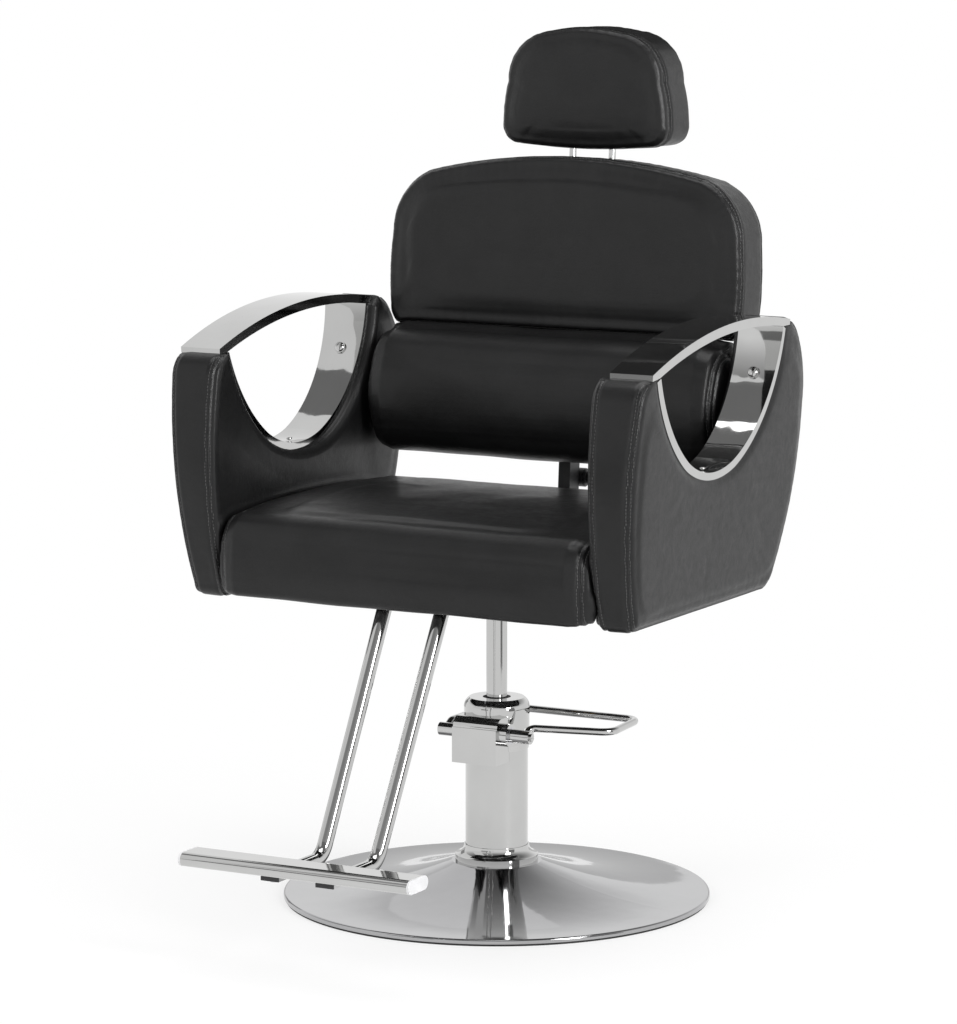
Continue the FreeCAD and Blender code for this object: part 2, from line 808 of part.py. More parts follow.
def make_pump_head():
    foot = S.tube_top_height - S.head_skirt
    top = S.head_top_height
    shoulder = top - S.head_shoulder
    turn = turned(
        "head_turn",
        (0, foot),
        (S.head_skirt_radius, foot),
        (S.head_radius, foot + S.head_skirt),
        (S.head_radius, shoulder),
        ((S.head_shoulder_radius, top - S.head_shoulder / 2), (S.head_top_radius, top - S.head_bevel)),
        (S.head_top_radius - S.head_bevel, top),
        (0, top),
        (0, foot),
    )
    front = -(S.housing_front - S.cover_thickness)
    round_mid = S.housing_round * 0.293
    block = padded(
        "head_block", "YZ_Plane", 0, S.housing_half_width * 2,
        (front, S.housing_bottom_height),
        (
            (front, S.housing_top_height - S.housing_round),
            ((front + round_mid, S.housing_top_height - round_mid),
             (front + S.housing_round, S.housing_top_height)),
            (-S.housing_back, S.housing_top_height),
            (-S.housing_back, S.housing_bottom_height),
            (front, S.housing_bottom_height),
        ),
        both_ways=True,
    )
    axis_y = -S.pedal_axis_front
    boss = rod("head_boss", S.boss_radius, (S.housing_half_width, axis_y, S.pedal_axis_height), S.boss_length, "x")
    bush_outer = S.piston_radius + S.running_gap + S.bush_wall
    wiper_outer = S.piston_radius + S.running_gap + S.wiper_wall
    wiper_foot = top - S.wiper_height
    floor_top = S.tube_top_height + S.head_floor
    bearing = S.pedal_shaft_radius + S.running_gap + S.pedal_bush_wall
    bearing_span = S.housing_half_width * 2 + S.boss_length + S.overrun * 2
    tools = [
        rod("head_socket", S.tube_radius + S.running_gap, (0, 0, S.housing_bottom_height - S.overrun),
            S.tube_top_height - S.housing_bottom_height + S.overrun),
        rod("head_bore", bush_outer, (0, 0, foot), top - foot),
        rod("head_wiper_seat", wiper_outer, (0, 0, wiper_foot), S.wiper_height + S.overrun),
        box("head_cavity", (-S.cavity_half_width, -S.cavity_front, floor_top),
            (S.cavity_half_width, -S.cavity_back, S.cavity_top_height)),
        rod("head_cross_bore", bearing, (-(S.housing_half_width + S.overrun), axis_y, S.pedal_axis_height),
            bearing_span, "x"),
        rod("head_plunger_hole", S.plunger_radius + S.running_gap,
            (0, axis_y + S.cam_reach, S.tube_top_height - S.overrun), S.head_floor + S.overrun * 2),
    ]
    node("pump_head", cut("head", join("head_solid", [turn, block, boss]), tools))

    cover = padded(
        "housing_cover_body", "XZ_Plane", S.housing_front - S.cover_thickness, S.cover_thickness,
        (-S.housing_half_width, S.housing_bottom_height),
        (
            (S.housing_half_width, S.housing_bottom_height),
            (S.housing_half_width, S.housing_top_height - S.housing_round),
            (-S.housing_half_width, S.housing_top_height - S.housing_round),
            (-S.housing_half_width, S.housing_bottom_height),
        ),
    )
    node("housing_cover", cover)

    bore = S.piston_radius + S.running_gap
    guide = cut(
        "guide",
        rod("guide_outer", bush_outer, (0, 0, S.tube_top_height), wiper_foot - S.tube_top_height),
        [rod("guide_bore", bore, (0, 0, foot), top - foot)],
    )
    node("rod_guide_bush", guide)
    wiper = turned(
        "rod_wiper_body",
        (bore, wiper_foot),
        (wiper_outer, wiper_foot),
        (wiper_outer, top),
        (bore + S.wiper_proud, top + S.wiper_proud),
        (bore, top + S.wiper_proud),
        (bore, wiper_foot),
    )
    node("rod_wiper", wiper)

    bushes = []
    spans = (
        ("left", -S.housing_half_width, -S.cavity_half_width),
        ("right", S.cavity_half_width, S.housing_half_width + S.boss_length),
    )
    for side, low, high in spans:
        ring = rod("shaft_bush_outer_" + side, bearing, (low, axis_y, S.pedal_axis_height), high - low, "x")
        hole = rod("shaft_bush_bore_" + side, S.pedal_shaft_radius + S.running_gap,
                   (low - S.overrun, axis_y, S.pedal_axis_height), high - low + S.overrun * 2, "x")
        bushes.append(cut("shaft_bush_" + side, ring, [hole]))
    node("shaft_bushes", group("bushes", bushes))


def make_plunger():
    y = S.cam_reach - S.pedal_axis_front
    bore = S.plunger_radius + S.running_gap
    foot = S.tube_top_height - S.barrel_length
    barrel = cut(
        "barrel",
        rod("barrel_outer", bore + S.barrel_wall, (0, y, foot), S.barrel_length),
        [rod("barrel_bore", bore, (0, y, foot + S.barrel_floor), S.barrel_length)],
    )
    node("plunger_barrel", barrel)

    top = S.pedal_axis_height - S.cam_nose_radius - S.slack_gap
    node("plunger", rod("plunger_rod", S.plunger_radius, (0, y, top - S.plunger_length), S.plunger_length))

    low = float(foot + S.barrel_floor)
    high = float(top - S.plunger_length)
    wire = float(S.spring_wire) / 2
    radius = float(S.plunger_radius) - wire * 2
    turns = int(S.spring_turns.value)
    pitch = (high - low - wire * 2) / turns
    quarters = []

    def helix(share):
        angle = 2 * math.pi * share
        return vec(radius * math.cos(angle), float(y) + radius * math.sin(angle), low + wire + pitch * share)

    for quarter in range(turns * 4):
        ends = [helix((quarter + part) / 4) for part in (0, 0.5, 1)]
        quarters.append(arc_edge(*ends))
    path = Part.Wire(quarters)
    start = helix(0)
    along = quarters[0].tangentAt(quarters[0].FirstParameter)
    ring = Part.Wire([Part.Circle(start, along, wire).toShape()])
    coil = path.makePipeShell([ring], True, False)
    node("plunger_spring", shaped("spring_coil", coil))


# Foot pedal


def pedal_loop_points():
    """The rod leaves the shaft's left end, passes behind the pump and comes back to the shaft's right end."""
    axis_y = -S.pedal_axis_front
    low = S.pedal_axis_height
    high = S.pedal_axis_height + S.pedal_rod_rise
    jog = axis_y + S.pedal_rod_jog
    return [
        vec(-S.pedal_rod_left, axis_y, low),
        vec(-S.pedal_rod_left, jog, high),
        vec(-S.pedal_rod_left, S.pedal_loop_back, high),
        vec(S.pedal_loop_far_reach, S.pedal_loop_back, high),
        vec(S.pedal_loop_reach, -S.pedal_loop_near, high),
        vec(S.pedal_rod_right, jog, high),
        vec(S.pedal_rod_right, axis_y, low),
    ]


def make_pedal():
    axis_y = -S.pedal_axis_front
    height = S.pedal_axis_height
    bends = [S.pedal_jog_radius] + [S.pedal_bend_radius] * 3 + [S.pedal_jog_radius]
    loop = bent_rod("pedal_rod", pedal_loop_points(), bends, S.pedal_rod_radius)
    node("pedal_loop", loop)

    span = S.pedal_shaft_left + S.pedal_shaft_right
    bar = rod("shaft_bar", S.pedal_shaft_radius, (-S.pedal_shaft_left, axis_y, height), span, "x")
    tapping = S.pedal_shaft_right - S.pedal_rod_right - S.pedal_rod_radius - S.overrun
    screw_hole = rod("shaft_screw_hole", S.screw_head_radius / 2,
                     (S.pedal_shaft_right - tapping, axis_y, height), tapping + S.overrun, "x")
    node("pedal_shaft", cut("shaft", bar, [loop, screw_hole]))

    shank = rod("screw_shank", S.screw_head_radius / 2, (S.pedal_shaft_right - tapping, axis_y, height), tapping, "x")
    head = rod("screw_head", S.screw_head_radius, (S.pedal_shaft_right, axis_y, height), S.screw_head_height, "x")
    slot = box(
        "screw_slot_cut",
        (S.pedal_shaft_right + S.screw_head_height / 2, axis_y - S.screw_head_radius - S.overrun,
         height - S.screw_slot / 2),
        (S.pedal_shaft_right + S.screw_head_height + S.overrun, axis_y + S.screw_head_radius + S.overrun,
         height + S.screw_slot / 2),
    )
    node("pedal_screw", cut("pedal_screw_cut", join("pedal_screw_solid", [shank, head]), [slot]))

    width = S.cam_half_width * 2
    ring = rod("cam_ring", S.cam_radius, (-S.cam_half_width, axis_y, height), width, "x")
    nose = rod("cam_nose", S.cam_nose_radius, (-S.cam_half_width, axis_y + S.cam_reach, height), width, "x")
    web = box("cam_web", (-S.cam_half_width, axis_y, height - S.cam_nose_radius),
              (S.cam_half_width, axis_y + S.cam_reach, height + S.cam_nose_radius))
    bore = rod("cam_bore", S.pedal_shaft_radius, (-(S.cam_half_width + S.overrun), axis_y, height),
               width + S.overrun * 2, "x")
    node("pump_cam", cut("cam", join("cam_solid", [ring, nose, web]), [bore]))


# Lift piston


def make_piston():
    foot = S.piston_foot_height
    neck_top = foot + S.piston_head_height
    shoulder = S.piston_shoulder_height
    spigot_top = shoulder + S.spigot_length
    rod_body = turned(
        "piston_rod_body",
        (0, foot),
        (S.piston_neck_radius, foot),
        (S.piston_neck_radius, neck_top),
        (S.piston_radius, neck_top),
        (S.piston_radius, shoulder),
        (S.spigot_radius, shoulder),
        (S.spigot_radius, spigot_top - S.overrun),
        (S.spigot_radius - S.overrun, spigot_top),
        (0, spigot_top),
        (0, foot),
    )
    node("piston_rod", rod_body)

    outer = S.cylinder_bore - S.running_gap
    groove = outer - S.seal_depth
    middle = foot + S.piston_head_height / 2
    low = middle - S.seal_height / 2
    high = middle + S.seal_height / 2
    head = turned(
        "piston_head_body",
        (S.piston_neck_radius, foot),
        (outer, foot),
        (outer, low),
        (groove, low),
        (groove, high),
        (outer, high),
        (outer, neck_top),
        (S.piston_neck_radius, neck_top),
        (S.piston_neck_radius, foot),
    )
    node("piston_head", head)
    seal = turned(
        "piston_seal_body",
        (groove, low),
        (outer, low),
        (outer, high),
        (groove, high),
        (groove, low),
    )
    node("piston_seal", seal)

    washer = cut(
        "washer",
        rod("washer_outer", S.washer_radius, (0, 0, shoulder), S.washer_thickness),
        [rod("washer_bore", S.spigot_radius, (0, 0, shoulder - S.overrun), S.washer_thickness + S.overrun * 2)],
    )
    node("thrust_washer", washer)


# Seat carrier


def rail_along(name, low, high, axis):
    """A square tube between two corners, open at its ends along its axis."""
    wall = S.rail_wall
    inner_low = [value + wall for value in low]
    inner_high = [value - wall for value in high]
    inner_low[axis] = low[axis] - S.overrun
    inner_high[axis] = high[axis] + S.overrun
    return cut(name, box(name + "_outer", low, high), [box(name + "_inner", inner_low, inner_high)])


def make_carrier():
    plate_low = S.mount_plate_height
    plate_top = plate_low + S.mount_plate_thickness
    hub_foot = S.piston_shoulder_height + S.washer_thickness + S.slack_gap
    bore = S.spigot_radius + S.running_gap
    hub = turned(
        "swivel_hub_body",
        (bore, hub_foot),
        (S.hub_foot_radius, hub_foot),
        (S.hub_radius, hub_foot + S.hub_foot_bevel),
        (S.hub_radius, plate_low - S.hub_flange_height * 3),
        (S.hub_flange_radius, plate_low - S.hub_flange_height),
        (S.hub_flange_radius, plate_low),
        (bore, plate_low),
        (bore, hub_foot),
    )
    node("swivel_hub", hub)

    corners = ((-1, -1), (1, -1), (1, 1), (-1, 1))
    plate = box("mount_plate_solid", (-S.mount_plate_half_width, -S.mount_plate_half_depth, plate_low),
                (S.mount_plate_half_width, S.mount_plate_half_depth, plate_top))
    holes = []
    bolts = []
    for index, (side, end) in enumerate(corners):
        x = S.rail_half_spacing * side
        y = S.mount_bolt_back * end
        holes.append(rod("mount_hole_%d" % index, S.bolt_radius, (x, y, plate_low - S.overrun),
                         S.mount_plate_thickness + S.rail_wall + S.overrun * 2))
        head = hexagon("mount_bolt_head_%d" % index, S.bolt_head_across, (x, y, plate_low - S.bolt_head_height),
                       S.bolt_head_height)
        shank = rod("mount_bolt_shank_%d" % index, S.bolt_radius, (x, y, plate_low),
                    S.mount_plate_thickness + S.rail_size / 2)
        bolts.append(join("mount_bolt_%d" % index, [head, shank]))
    node("seat_mount_plate", cut("mount_plate", plate, holes))

    rail_low = plate_top
    rail_top = rail_low + S.rail_size
    front_low, front_high = -S.front_rail_front, -S.front_rail_front + S.rail_size
    rear_low, rear_high = S.rear_rail_back - S.rail_size, S.rear_rail_back
    rails = []
    for side, name in ((-1, "right"), (1, "left")):
        middle = S.rail_half_spacing * side
        low = (middle - S.rail_size / 2, front_high, rail_low)
        high = (middle + S.rail_size / 2, rear_low, rail_top)
        rails.append(rail_along("long_rail_" + name, low, high, 1))
    node("frame_rails", cut("rails", group("rails_solid", rails), [group("rail_bolt_holes", holes)]))

    plate_in = S.arm_inner - S.pad_gap - S.end_plate_thickness
    plate_out = S.arm_inner - S.pad_gap
    bolt_height = rail_low + S.rail_size / 2
    arm_holes = []

    def end_plate(name, side, middle):
        """The plate on a cross rail's end that an arm is bolted to."""
        xs = (plate_in, plate_out) if side > 0 else (-plate_out, -plate_in)
        thing = box(name, (xs[0], middle - S.end_plate_width / 2, rail_low - S.end_plate_drop),
                    (xs[1], middle + S.end_plate_width / 2, rail_top))
        for place_name, along in (("front", -S.arm_bolt_spread), ("rear", S.arm_bolt_spread)):
            y = middle + along
            start = plate_in - S.bolt_head_height if side > 0 else -plate_in
            head = hexagon("%s_bolt_head_%s" % (name, place_name), S.bolt_head_across,
                           (start, y, bolt_height), S.bolt_head_height, "x")
            inward = plate_in if side > 0 else -(plate_in + S.arm_bolt_length)
            shank = rod("%s_bolt_shank_%s" % (name, place_name), S.bolt_radius, (inward, y, bolt_height),
                        S.arm_bolt_length, "x")
            bolts.append(join("%s_bolt_%s" % (name, place_name), [head, shank]))
            arm_holes.append(shank)
        return thing

    front_middle = (front_low + front_high) / 2
    rear_middle = (rear_low + rear_high) / 2
    front = rail_along("front_rail", (-plate_in, front_low, rail_low), (plate_in, front_high, rail_top), 0)
    ears = []
    gap = S.strut_eye_half_width + S.strut_slack
    strut_height = strut_axis_height()
    for side, name in ((-1, "right"), (1, "left")):
        low_x = gap if side > 0 else -(gap + S.clevis_thickness)
        ear = padded(
            "clevis_ear_" + name, "YZ_Plane", low_x, S.clevis_thickness,
            (front_high, strut_height - S.strut_eye_radius),
            (
                (-S.strut_pin_front, strut_height - S.strut_eye_radius),
                ((-S.strut_pin_front + S.strut_eye_radius, strut_height),
                 (-S.strut_pin_front, strut_height + S.strut_eye_radius)),
                (front_high, strut_height + S.strut_eye_radius),
                (front_high, strut_height - S.strut_eye_radius),
            ),
            holes=(((-S.strut_pin_front, strut_height), S.crank_pin_radius),),
        )
        ears.append(ear)
    front_parts = [front, end_plate("front_plate_right", -1, front_middle),
                   end_plate("front_plate_left", 1, front_middle)] + ears
    front_holes = list(arm_holes)
    node("frame_front", cut("frame_front_cut", join("frame_front_solid", front_parts), front_holes))

    arm_holes.clear()
    bracket_out = S.bracket_half_gap + S.bracket_thickness
    halves = []
    for side, name in ((-1, "right"), (1, "left")):
        xs = (bracket_out, plate_in) if side > 0 else (-plate_in, -bracket_out)
        rail = rail_along("rear_rail_" + name, (xs[0], rear_low, rail_low), (xs[1], rear_high, rail_top), 0)
        halves.append(join("rear_half_" + name, [rail, end_plate("rear_plate_" + name, side, rear_middle)]))
    node("frame_rear", cut("frame_rear_cut", group("frame_rear_solid", halves), list(arm_holes)))
    return bolts


def strut_axis_height():
    """The strut lies level, midway between the highest and lowest place of the crank's pin."""
    return S.recline_axis_height - S.crank_length * ((1 + math.cos(math.radians(S.crank_angle))) / 2)


def make_recline_bracket():
    y, z = S.recline_axis_back, S.recline_axis_height
    rail_low = S.mount_plate_height + S.mount_plate_thickness
    rail_top = rail_low + S.rail_size
    front = S.rear_rail_back - S.rail_size
    boss = S.bracket_boss_radius
    leg = boss * 0.8
    plates = []
    for side, name in ((-1, "right"), (1, "left")):
        low_x = S.bracket_half_gap if side > 0 else -(S.bracket_half_gap + S.bracket_thickness)
        plate = padded(
            "bracket_" + name, "YZ_Plane", low_x, S.bracket_thickness,
            (front, rail_low),
            (
                (S.rear_rail_back, rail_low),
                (y + boss * 0.6, z - leg),
                ((y + boss, z), (y + boss * 0.6, z + leg)),
                ((y, z + boss), (y - boss * 0.6, z + leg)),
                (S.rear_rail_back + boss, rail_top),
                (front, rail_top),
                (front, rail_low),
            ),
            holes=(((y, z), S.recline_pin_radius),),
        )
        plates.append(plate)
    node("recline_bracket", group("bracket", plates))

    out = S.bracket_half_gap + S.bracket_thickness
    span = out * 2
    shank = rod("recline_pin_shank", S.recline_pin_radius, (-out, y, z), span, "x")
    heads = [
        rod("recline_pin_head", S.pin_head_radius, (out, y, z), S.pin_head_thickness, "x"),
        rod("recline_pin_clip", S.pin_head_radius, (-(out + S.pin_head_thickness), y, z), S.pin_head_thickness, "x"),
    ]
    ear_out = S.strut_eye_half_width + S.strut_slack + S.clevis_thickness
    strut_y, strut_z = -S.strut_pin_front, strut_axis_height()
    front_shank = rod("strut_pin_shank", S.crank_pin_radius, (-ear_out, strut_y, strut_z), ear_out * 2, "x")
    front_heads = [
        rod("strut_pin_head", S.crank_pin_radius * 1.5, (ear_out, strut_y, strut_z), S.pin_head_thickness, "x"),
        rod("strut_pin_clip", S.crank_pin_radius * 1.5, (-(ear_out + S.pin_head_thickness), strut_y, strut_z),
            S.pin_head_thickness, "x"),
    ]
    pins = [join("recline_pin", [shank] + heads), join("strut_pin", [front_shank] + front_heads)]
    node("pivot_pins", group("pins", pins))


def make_strut():
    z = strut_axis_height()
    bore = S.strut_radius - S.strut_wall
    length = S.strut_front + S.strut_rear
    tube = rod("strut_tube", S.strut_radius, (0, -S.strut_front, z), length, "y")
    hollow = rod("strut_hollow", bore, (0, -(S.strut_front - S.strut_wall), z), length - S.strut_wall * 4, "y")
    gland = rod("strut_gland", S.strut_rod_radius + S.running_gap, (0, 0, z), S.strut_rear + S.overrun, "y")
    eye = rod("strut_front_eye", S.strut_eye_radius, (-S.strut_eye_half_width, -S.strut_pin_front, z),
              S.strut_eye_half_width * 2, "x")
    neck = rod("strut_neck", S.strut_rod_radius, (0, -S.strut_pin_front, z), S.strut_pin_front - S.strut_front, "y")
    eye_hole = rod("strut_front_hole", S.crank_pin_radius, (-S.strut_radius, -S.strut_pin_front, z),
                   S.strut_radius * 2, "x")
    body = cut("strut_case_cut", join("strut_case_solid", [tube, eye, neck]), [hollow, gland, eye_hole])
    node("strut_case", body)

    rest = math.radians(S.crank_angle)
    eye_y = S.recline_axis_back + S.crank_length * math.sin(rest)
    slot_half = S.crank_length * ((1 - math.cos(rest)) / 2) + S.slack_gap
    piston = rod("strut_piston", bore - S.running_gap, (0, -S.strut_piston_front, z), S.strut_piston_length, "y")
    shank = rod("strut_shank", S.strut_rod_radius, (0, -S.strut_piston_front, z), eye_y + S.strut_piston_front, "y")
    rear_eye = rod("strut_rear_eye", S.strut_eye_radius, (-S.strut_eye_half_width, eye_y, z),
                   S.strut_eye_half_width * 2, "x")
    hole = S.crank_pin_radius + S.strut_slack
    low = rod("strut_slot_low", hole, (-S.strut_radius, eye_y, z - slot_half), S.strut_radius * 2, "x")
    high = rod("strut_slot_high", hole, (-S.strut_radius, eye_y, z + slot_half), S.strut_radius * 2, "x")
    middle = box("strut_slot_middle", (-S.strut_radius, eye_y - hole, z - slot_half),
                 (S.strut_radius, eye_y + hole, z + slot_half))
    solid = join("strut_rod_solid", [piston, shank, rear_eye])
    node("strut_rod", cut("strut_rod_cut", solid, [low, high, middle]))


# Seat


def seat_outline(inset):
    """The seat's side view, drawn in by the inset all round."""
    front = -S.seat_front + inset
    back = S.seat_back - inset
    low = S.seat_bottom_height + inset * 0.3
    top = S.seat_top_height - inset
    big, small, foot = S.seat_front_round, S.seat_rear_round, S.seat_low_round
    steps = (
        (back - foot, low),
        ((back - foot * 0.293, low + foot * 0.293), (back, low + foot)),
        ((back + S.seat_crown * 0.3, (low + top) / 2), (back, top - small)),
        ((back - small * 0.293, top - small * 0.293), (back - small, top)),
        (((front + back) / 2, top + S.seat_crown), (front + big, top)),
        ((front + big * 0.293, top - big * 0.293), (front, top - big)),
        ((front - S.seat_front_bulge * 0.4, (low + top) / 2), (front, low + foot)),
        ((front + foot * 0.293, low + foot * 0.293), (front + foot, low)),
    )
    return (front + foot, low), steps


def make_seat():
    board_top = S.board_top_height
    hollow_front = -(S.seat_front - S.seat_front_skirt)
    hollow_back = S.seat_back - S.seat_rear_skirt
    board = box("seat_board_solid", (-(S.seat_half_width - S.overrun), hollow_front, board_top - S.board_thickness),
                (S.seat_half_width - S.overrun, hollow_back, board_top))
    node("seat_board", board)

    wires = []
    for x, inset in both_ends(-S.seat_half_width, S.seat_half_width, S.seat_corner_round, S.seat_corner_round):
        start, steps = seat_outline(inset)
        wires.append(wire_of(start, steps, lambda y, z, x=x: vec(x, y, z)))
    foam = loft("seat_foam", wires)
    reach = S.seat_half_width + S.overrun
    hollow = box("seat_hollow", (-reach, hollow_front, S.seat_bottom_height - S.overrun),
                 (reach, hollow_back, board_top))
    slot = box("seat_slot", (-S.seat_slot_half_width, hollow_back - S.overrun, S.seat_bottom_height - S.overrun),
               (S.seat_slot_half_width, S.seat_back + S.overrun * 2, board_top + S.seat_slot_rise))
    node("seat_cushion", cut("seat_cushion_cut", foam, [hollow, slot]))


# Arms, drawn in shares of the arm's length and height

ARM_START_SHARE = (0.080, 0.863)
ARM_EDGE_SHARES = (
    # middle or corner, end, and the way that the edge is drawn in
    ((0.045, 0.847), (0.021, 0.796)),
    ((0.000, 0.481), (0.060, 0.038)),
    ((0.068, 0.011), (0.087, 0.000)),
    (None, (0.812, 0.000)),
    ((0.853, 0.013), (0.881, 0.059)),
    ((0.975, 0.360), (1.000, 0.661)),
    ((0.983, 0.812), (0.936, 0.925)),
    ((0.905, 0.962), (0.868, 0.982)),
)
ARM_INWARD_SHARES = (
    ((0.3, 0.0),),
    ((0.6, -0.6), (0.9, -0.3)),
    ((1.0, 0.0), (0.8, 0.4)),
    ((0.6, 0.7), (0.2, 1.0)),
    (None, (-0.2, 1.0)),
    ((-0.6, 0.8), (-0.8, 0.5)),
    ((-1.2, 0.3), (-1.5, 0.0)),
    ((-1.5, -0.6), (-1.0, -1.2)),
    ((-0.8, -1.1), (0.0, -1.2)),
)
OPENING_REAR_SHARE = (0.826, 0.957)
OPENING_SHARES = (
    ((0.705, 0.626), (0.575, 0.511)),
    ((0.441, 0.487), (0.309, 0.543)),
    ((0.196, 0.680), (0.117, 0.868)),
)
FLANGE_REAR_SHARE = (0.836, 0.948)
FLANGE_SHARES = (
    ((0.721, 0.616), (0.583, 0.489)),
    ((0.441, 0.465), (0.299, 0.522)),
    ((0.181, 0.664), (0.101, 0.858)),
)
LINER_REAR_SHARE = (0.822, 0.957)
LINER_SHARES = (
    ((0.701, 0.629), (0.573, 0.516)),
    ((0.441, 0.492), (0.311, 0.548)),
    ((0.200, 0.682), (0.121, 0.868)),
)
ARMREST_REAR_SHARE = 0.868
ARMREST_TOP_SHARES = ((0.474, 1.003), (0.868, 0.978))
ARMREST_NOSE_SHARE = 0.884
ARMREST_UNDER_SHARES = ((0.455, 0.966), (0.117, 0.868))
CORE_SHARES = (
    (0.101, 0.048), (0.781, 0.048), (0.845, 0.118), (0.936, 0.374), (0.969, 0.656), (0.936, 0.812),
    (0.833, 0.812), (0.726, 0.597), (0.588, 0.468), (0.441, 0.441), (0.291, 0.497), (0.169, 0.651),
    (0.122, 0.753), (0.049, 0.753), (0.029, 0.481), (0.072, 0.145),
)
DOME_NUT_SHARE = (0.788, 0.790)
LINER_SCREW_SHARE = (0.503, 0.497)
# How far the pad's inner face opens beyond the liner's rim, in widths of that rim
FACE_SPREAD_SHARE = 1.5


def arm_y(share):
    return S.arm_length * share - S.arm_front


def arm_z(share):
    return S.arm_height * share + S.arm_bottom_height


def arm_point(pair):
    return arm_y(pair[0]), arm_z(pair[1])


def arm_outside(z):
    """The arm's outer face leans out as it rises."""
    rise = (float(z) - float(S.arm_bottom_height)) / float(S.arm_height)
    return float(S.liner_inner + S.arm_foot_width) + rise * float(S.arm_top_width - S.arm_foot_width)


def drawn_in(pair, way, inset):
    y, z = arm_point(pair)
    return float(y) + way[0] * float(inset), float(z) + way[1] * float(inset)


def arm_front_steps(inset):
    """The pad's outer edge in side view, from the front tip down, back and up to the armrest's end."""
    start = drawn_in(ARM_START_SHARE, ARM_INWARD_SHARES[0][0], inset)
    steps = []
    for (middle, end), (middle_way, end_way) in zip(ARM_EDGE_SHARES, ARM_INWARD_SHARES[1:]):
        there = drawn_in(end, end_way, inset)
        steps.append(there if middle is None else (drawn_in(middle, middle_way, inset), there))
    return start, steps


def place_of(pair):
    return tuple(map(float, arm_point(pair)))


def opening_steps(shares):
    return [tuple(place_of(pair) for pair in step) for step in shares]


def spread_pair(edge, rim, spread):
    return place_of(tuple(a + (b - a) * spread for a, b in zip(edge, rim)))


def arm_steps(inset):
    """The pad's whole side view, with the opening and the armrest's seat."""
    start, steps = arm_front_steps(inset)
    steps.append(place_of((ARMREST_REAR_SHARE, OPENING_REAR_SHARE[1])))
    steps.append(place_of(OPENING_REAR_SHARE))
    return start, steps + opening_steps(OPENING_SHARES) + [start]


def arm_face_steps(inset, spread):
    """The side view of the pad's inner layer, whose opening is wider than the liner's rim."""
    start, steps = arm_front_steps(inset)
    steps.append(spread_pair(OPENING_REAR_SHARE, FLANGE_REAR_SHARE, spread))
    for edge, rim in zip(OPENING_SHARES, FLANGE_SHARES):
        steps.append(tuple(spread_pair(a, b, spread) for a, b in zip(edge, rim)))
    return start, steps + [start]


def leaning(side, depth):
    """Lifts a side view onto the arm's leaning outer face, moved out by a depth."""
    return lambda y, z: vec(side * (arm_outside(z) + float(depth)), y, z)


def upright(side, x):
    """Lifts a side view onto a plane square to X."""
    return lambda y, z: vec(side * float(x), y, z)


def band(first, first_steps, second, second_steps, lift):
    """A closed wire between two outlines that run side by side."""
    edges = [lift(*first)]
    wire = wire_of(first, first_steps, lift)
    back = wire_of(second, second_steps, lift)
    end_a = lift(*first_steps[-1][-1])
    end_b = lift(*second_steps[-1][-1])
    closing = [Part.LineSegment(end_a, end_b).toShape(), Part.LineSegment(lift(*second), edges[0]).toShape()]
    return Part.Wire(Part.__sortEdges__(wire.Edges + [closing[0]] + back.Edges + [closing[1]]))


def make_arm(side, name):
    face = []
    for along, inset in ROUND_OVER_SHARES:
        x = S.arm_inner + (S.liner_inner - S.arm_inner) * along
        start, steps = arm_face_steps(S.arm_edge_round * inset, 1 + FACE_SPREAD_SHARE * inset)
        face.append(wire_of(start, steps, upright(side, x)))
    start, steps = arm_steps(0)
    wires = [wire_of(start, steps, upright(side, S.liner_inner))]
    for along, inset in reversed(ROUND_OVER_SHARES):
        start, steps = arm_steps(S.arm_edge_round * inset)
        wires.append(wire_of(start, steps, leaning(side, -(S.arm_edge_round * along))))
    pad = join("arm_pad_solid_" + name, [loft("arm_face_" + name, face), loft("arm_body_" + name, wires)])
    core_in = S.liner_inner + S.core_inset
    low_x = core_in if side > 0 else -(core_in + S.core_thickness)
    corners = [arm_point(pair) for pair in CORE_SHARES]
    core = padded("arm_core_" + name, "YZ_Plane", low_x, S.core_thickness, corners[-1], corners)

    opening = place_of(OPENING_REAR_SHARE)
    flange = place_of(FLANGE_REAR_SHARE)
    inside = place_of(LINER_REAR_SHARE)
    edge, wide, near = (opening_steps(shares) for shares in (OPENING_SHARES, FLANGE_SHARES, LINER_SHARES))
    sheet = [band(inside, near, opening, edge, upright(side, S.liner_inner - S.liner_flange)),
             band(inside, near, opening, edge, leaning(side, S.liner_flange))]
    inner_rim = [band(inside, near, flange, wide, upright(side, S.liner_inner - S.liner_flange)),
                 band(inside, near, flange, wide, upright(side, S.liner_inner))]
    outer_rim = [band(inside, near, flange, wide, leaning(side, 0)),
                 band(inside, near, flange, wide, leaning(side, S.liner_flange))]
    rings = [loft("liner_%s_%s" % (part_name, name), pair)
             for part_name, pair in (("sheet", sheet), ("inner_rim", inner_rim), ("outer_rim", outer_rim))]
    return pad, core, rings


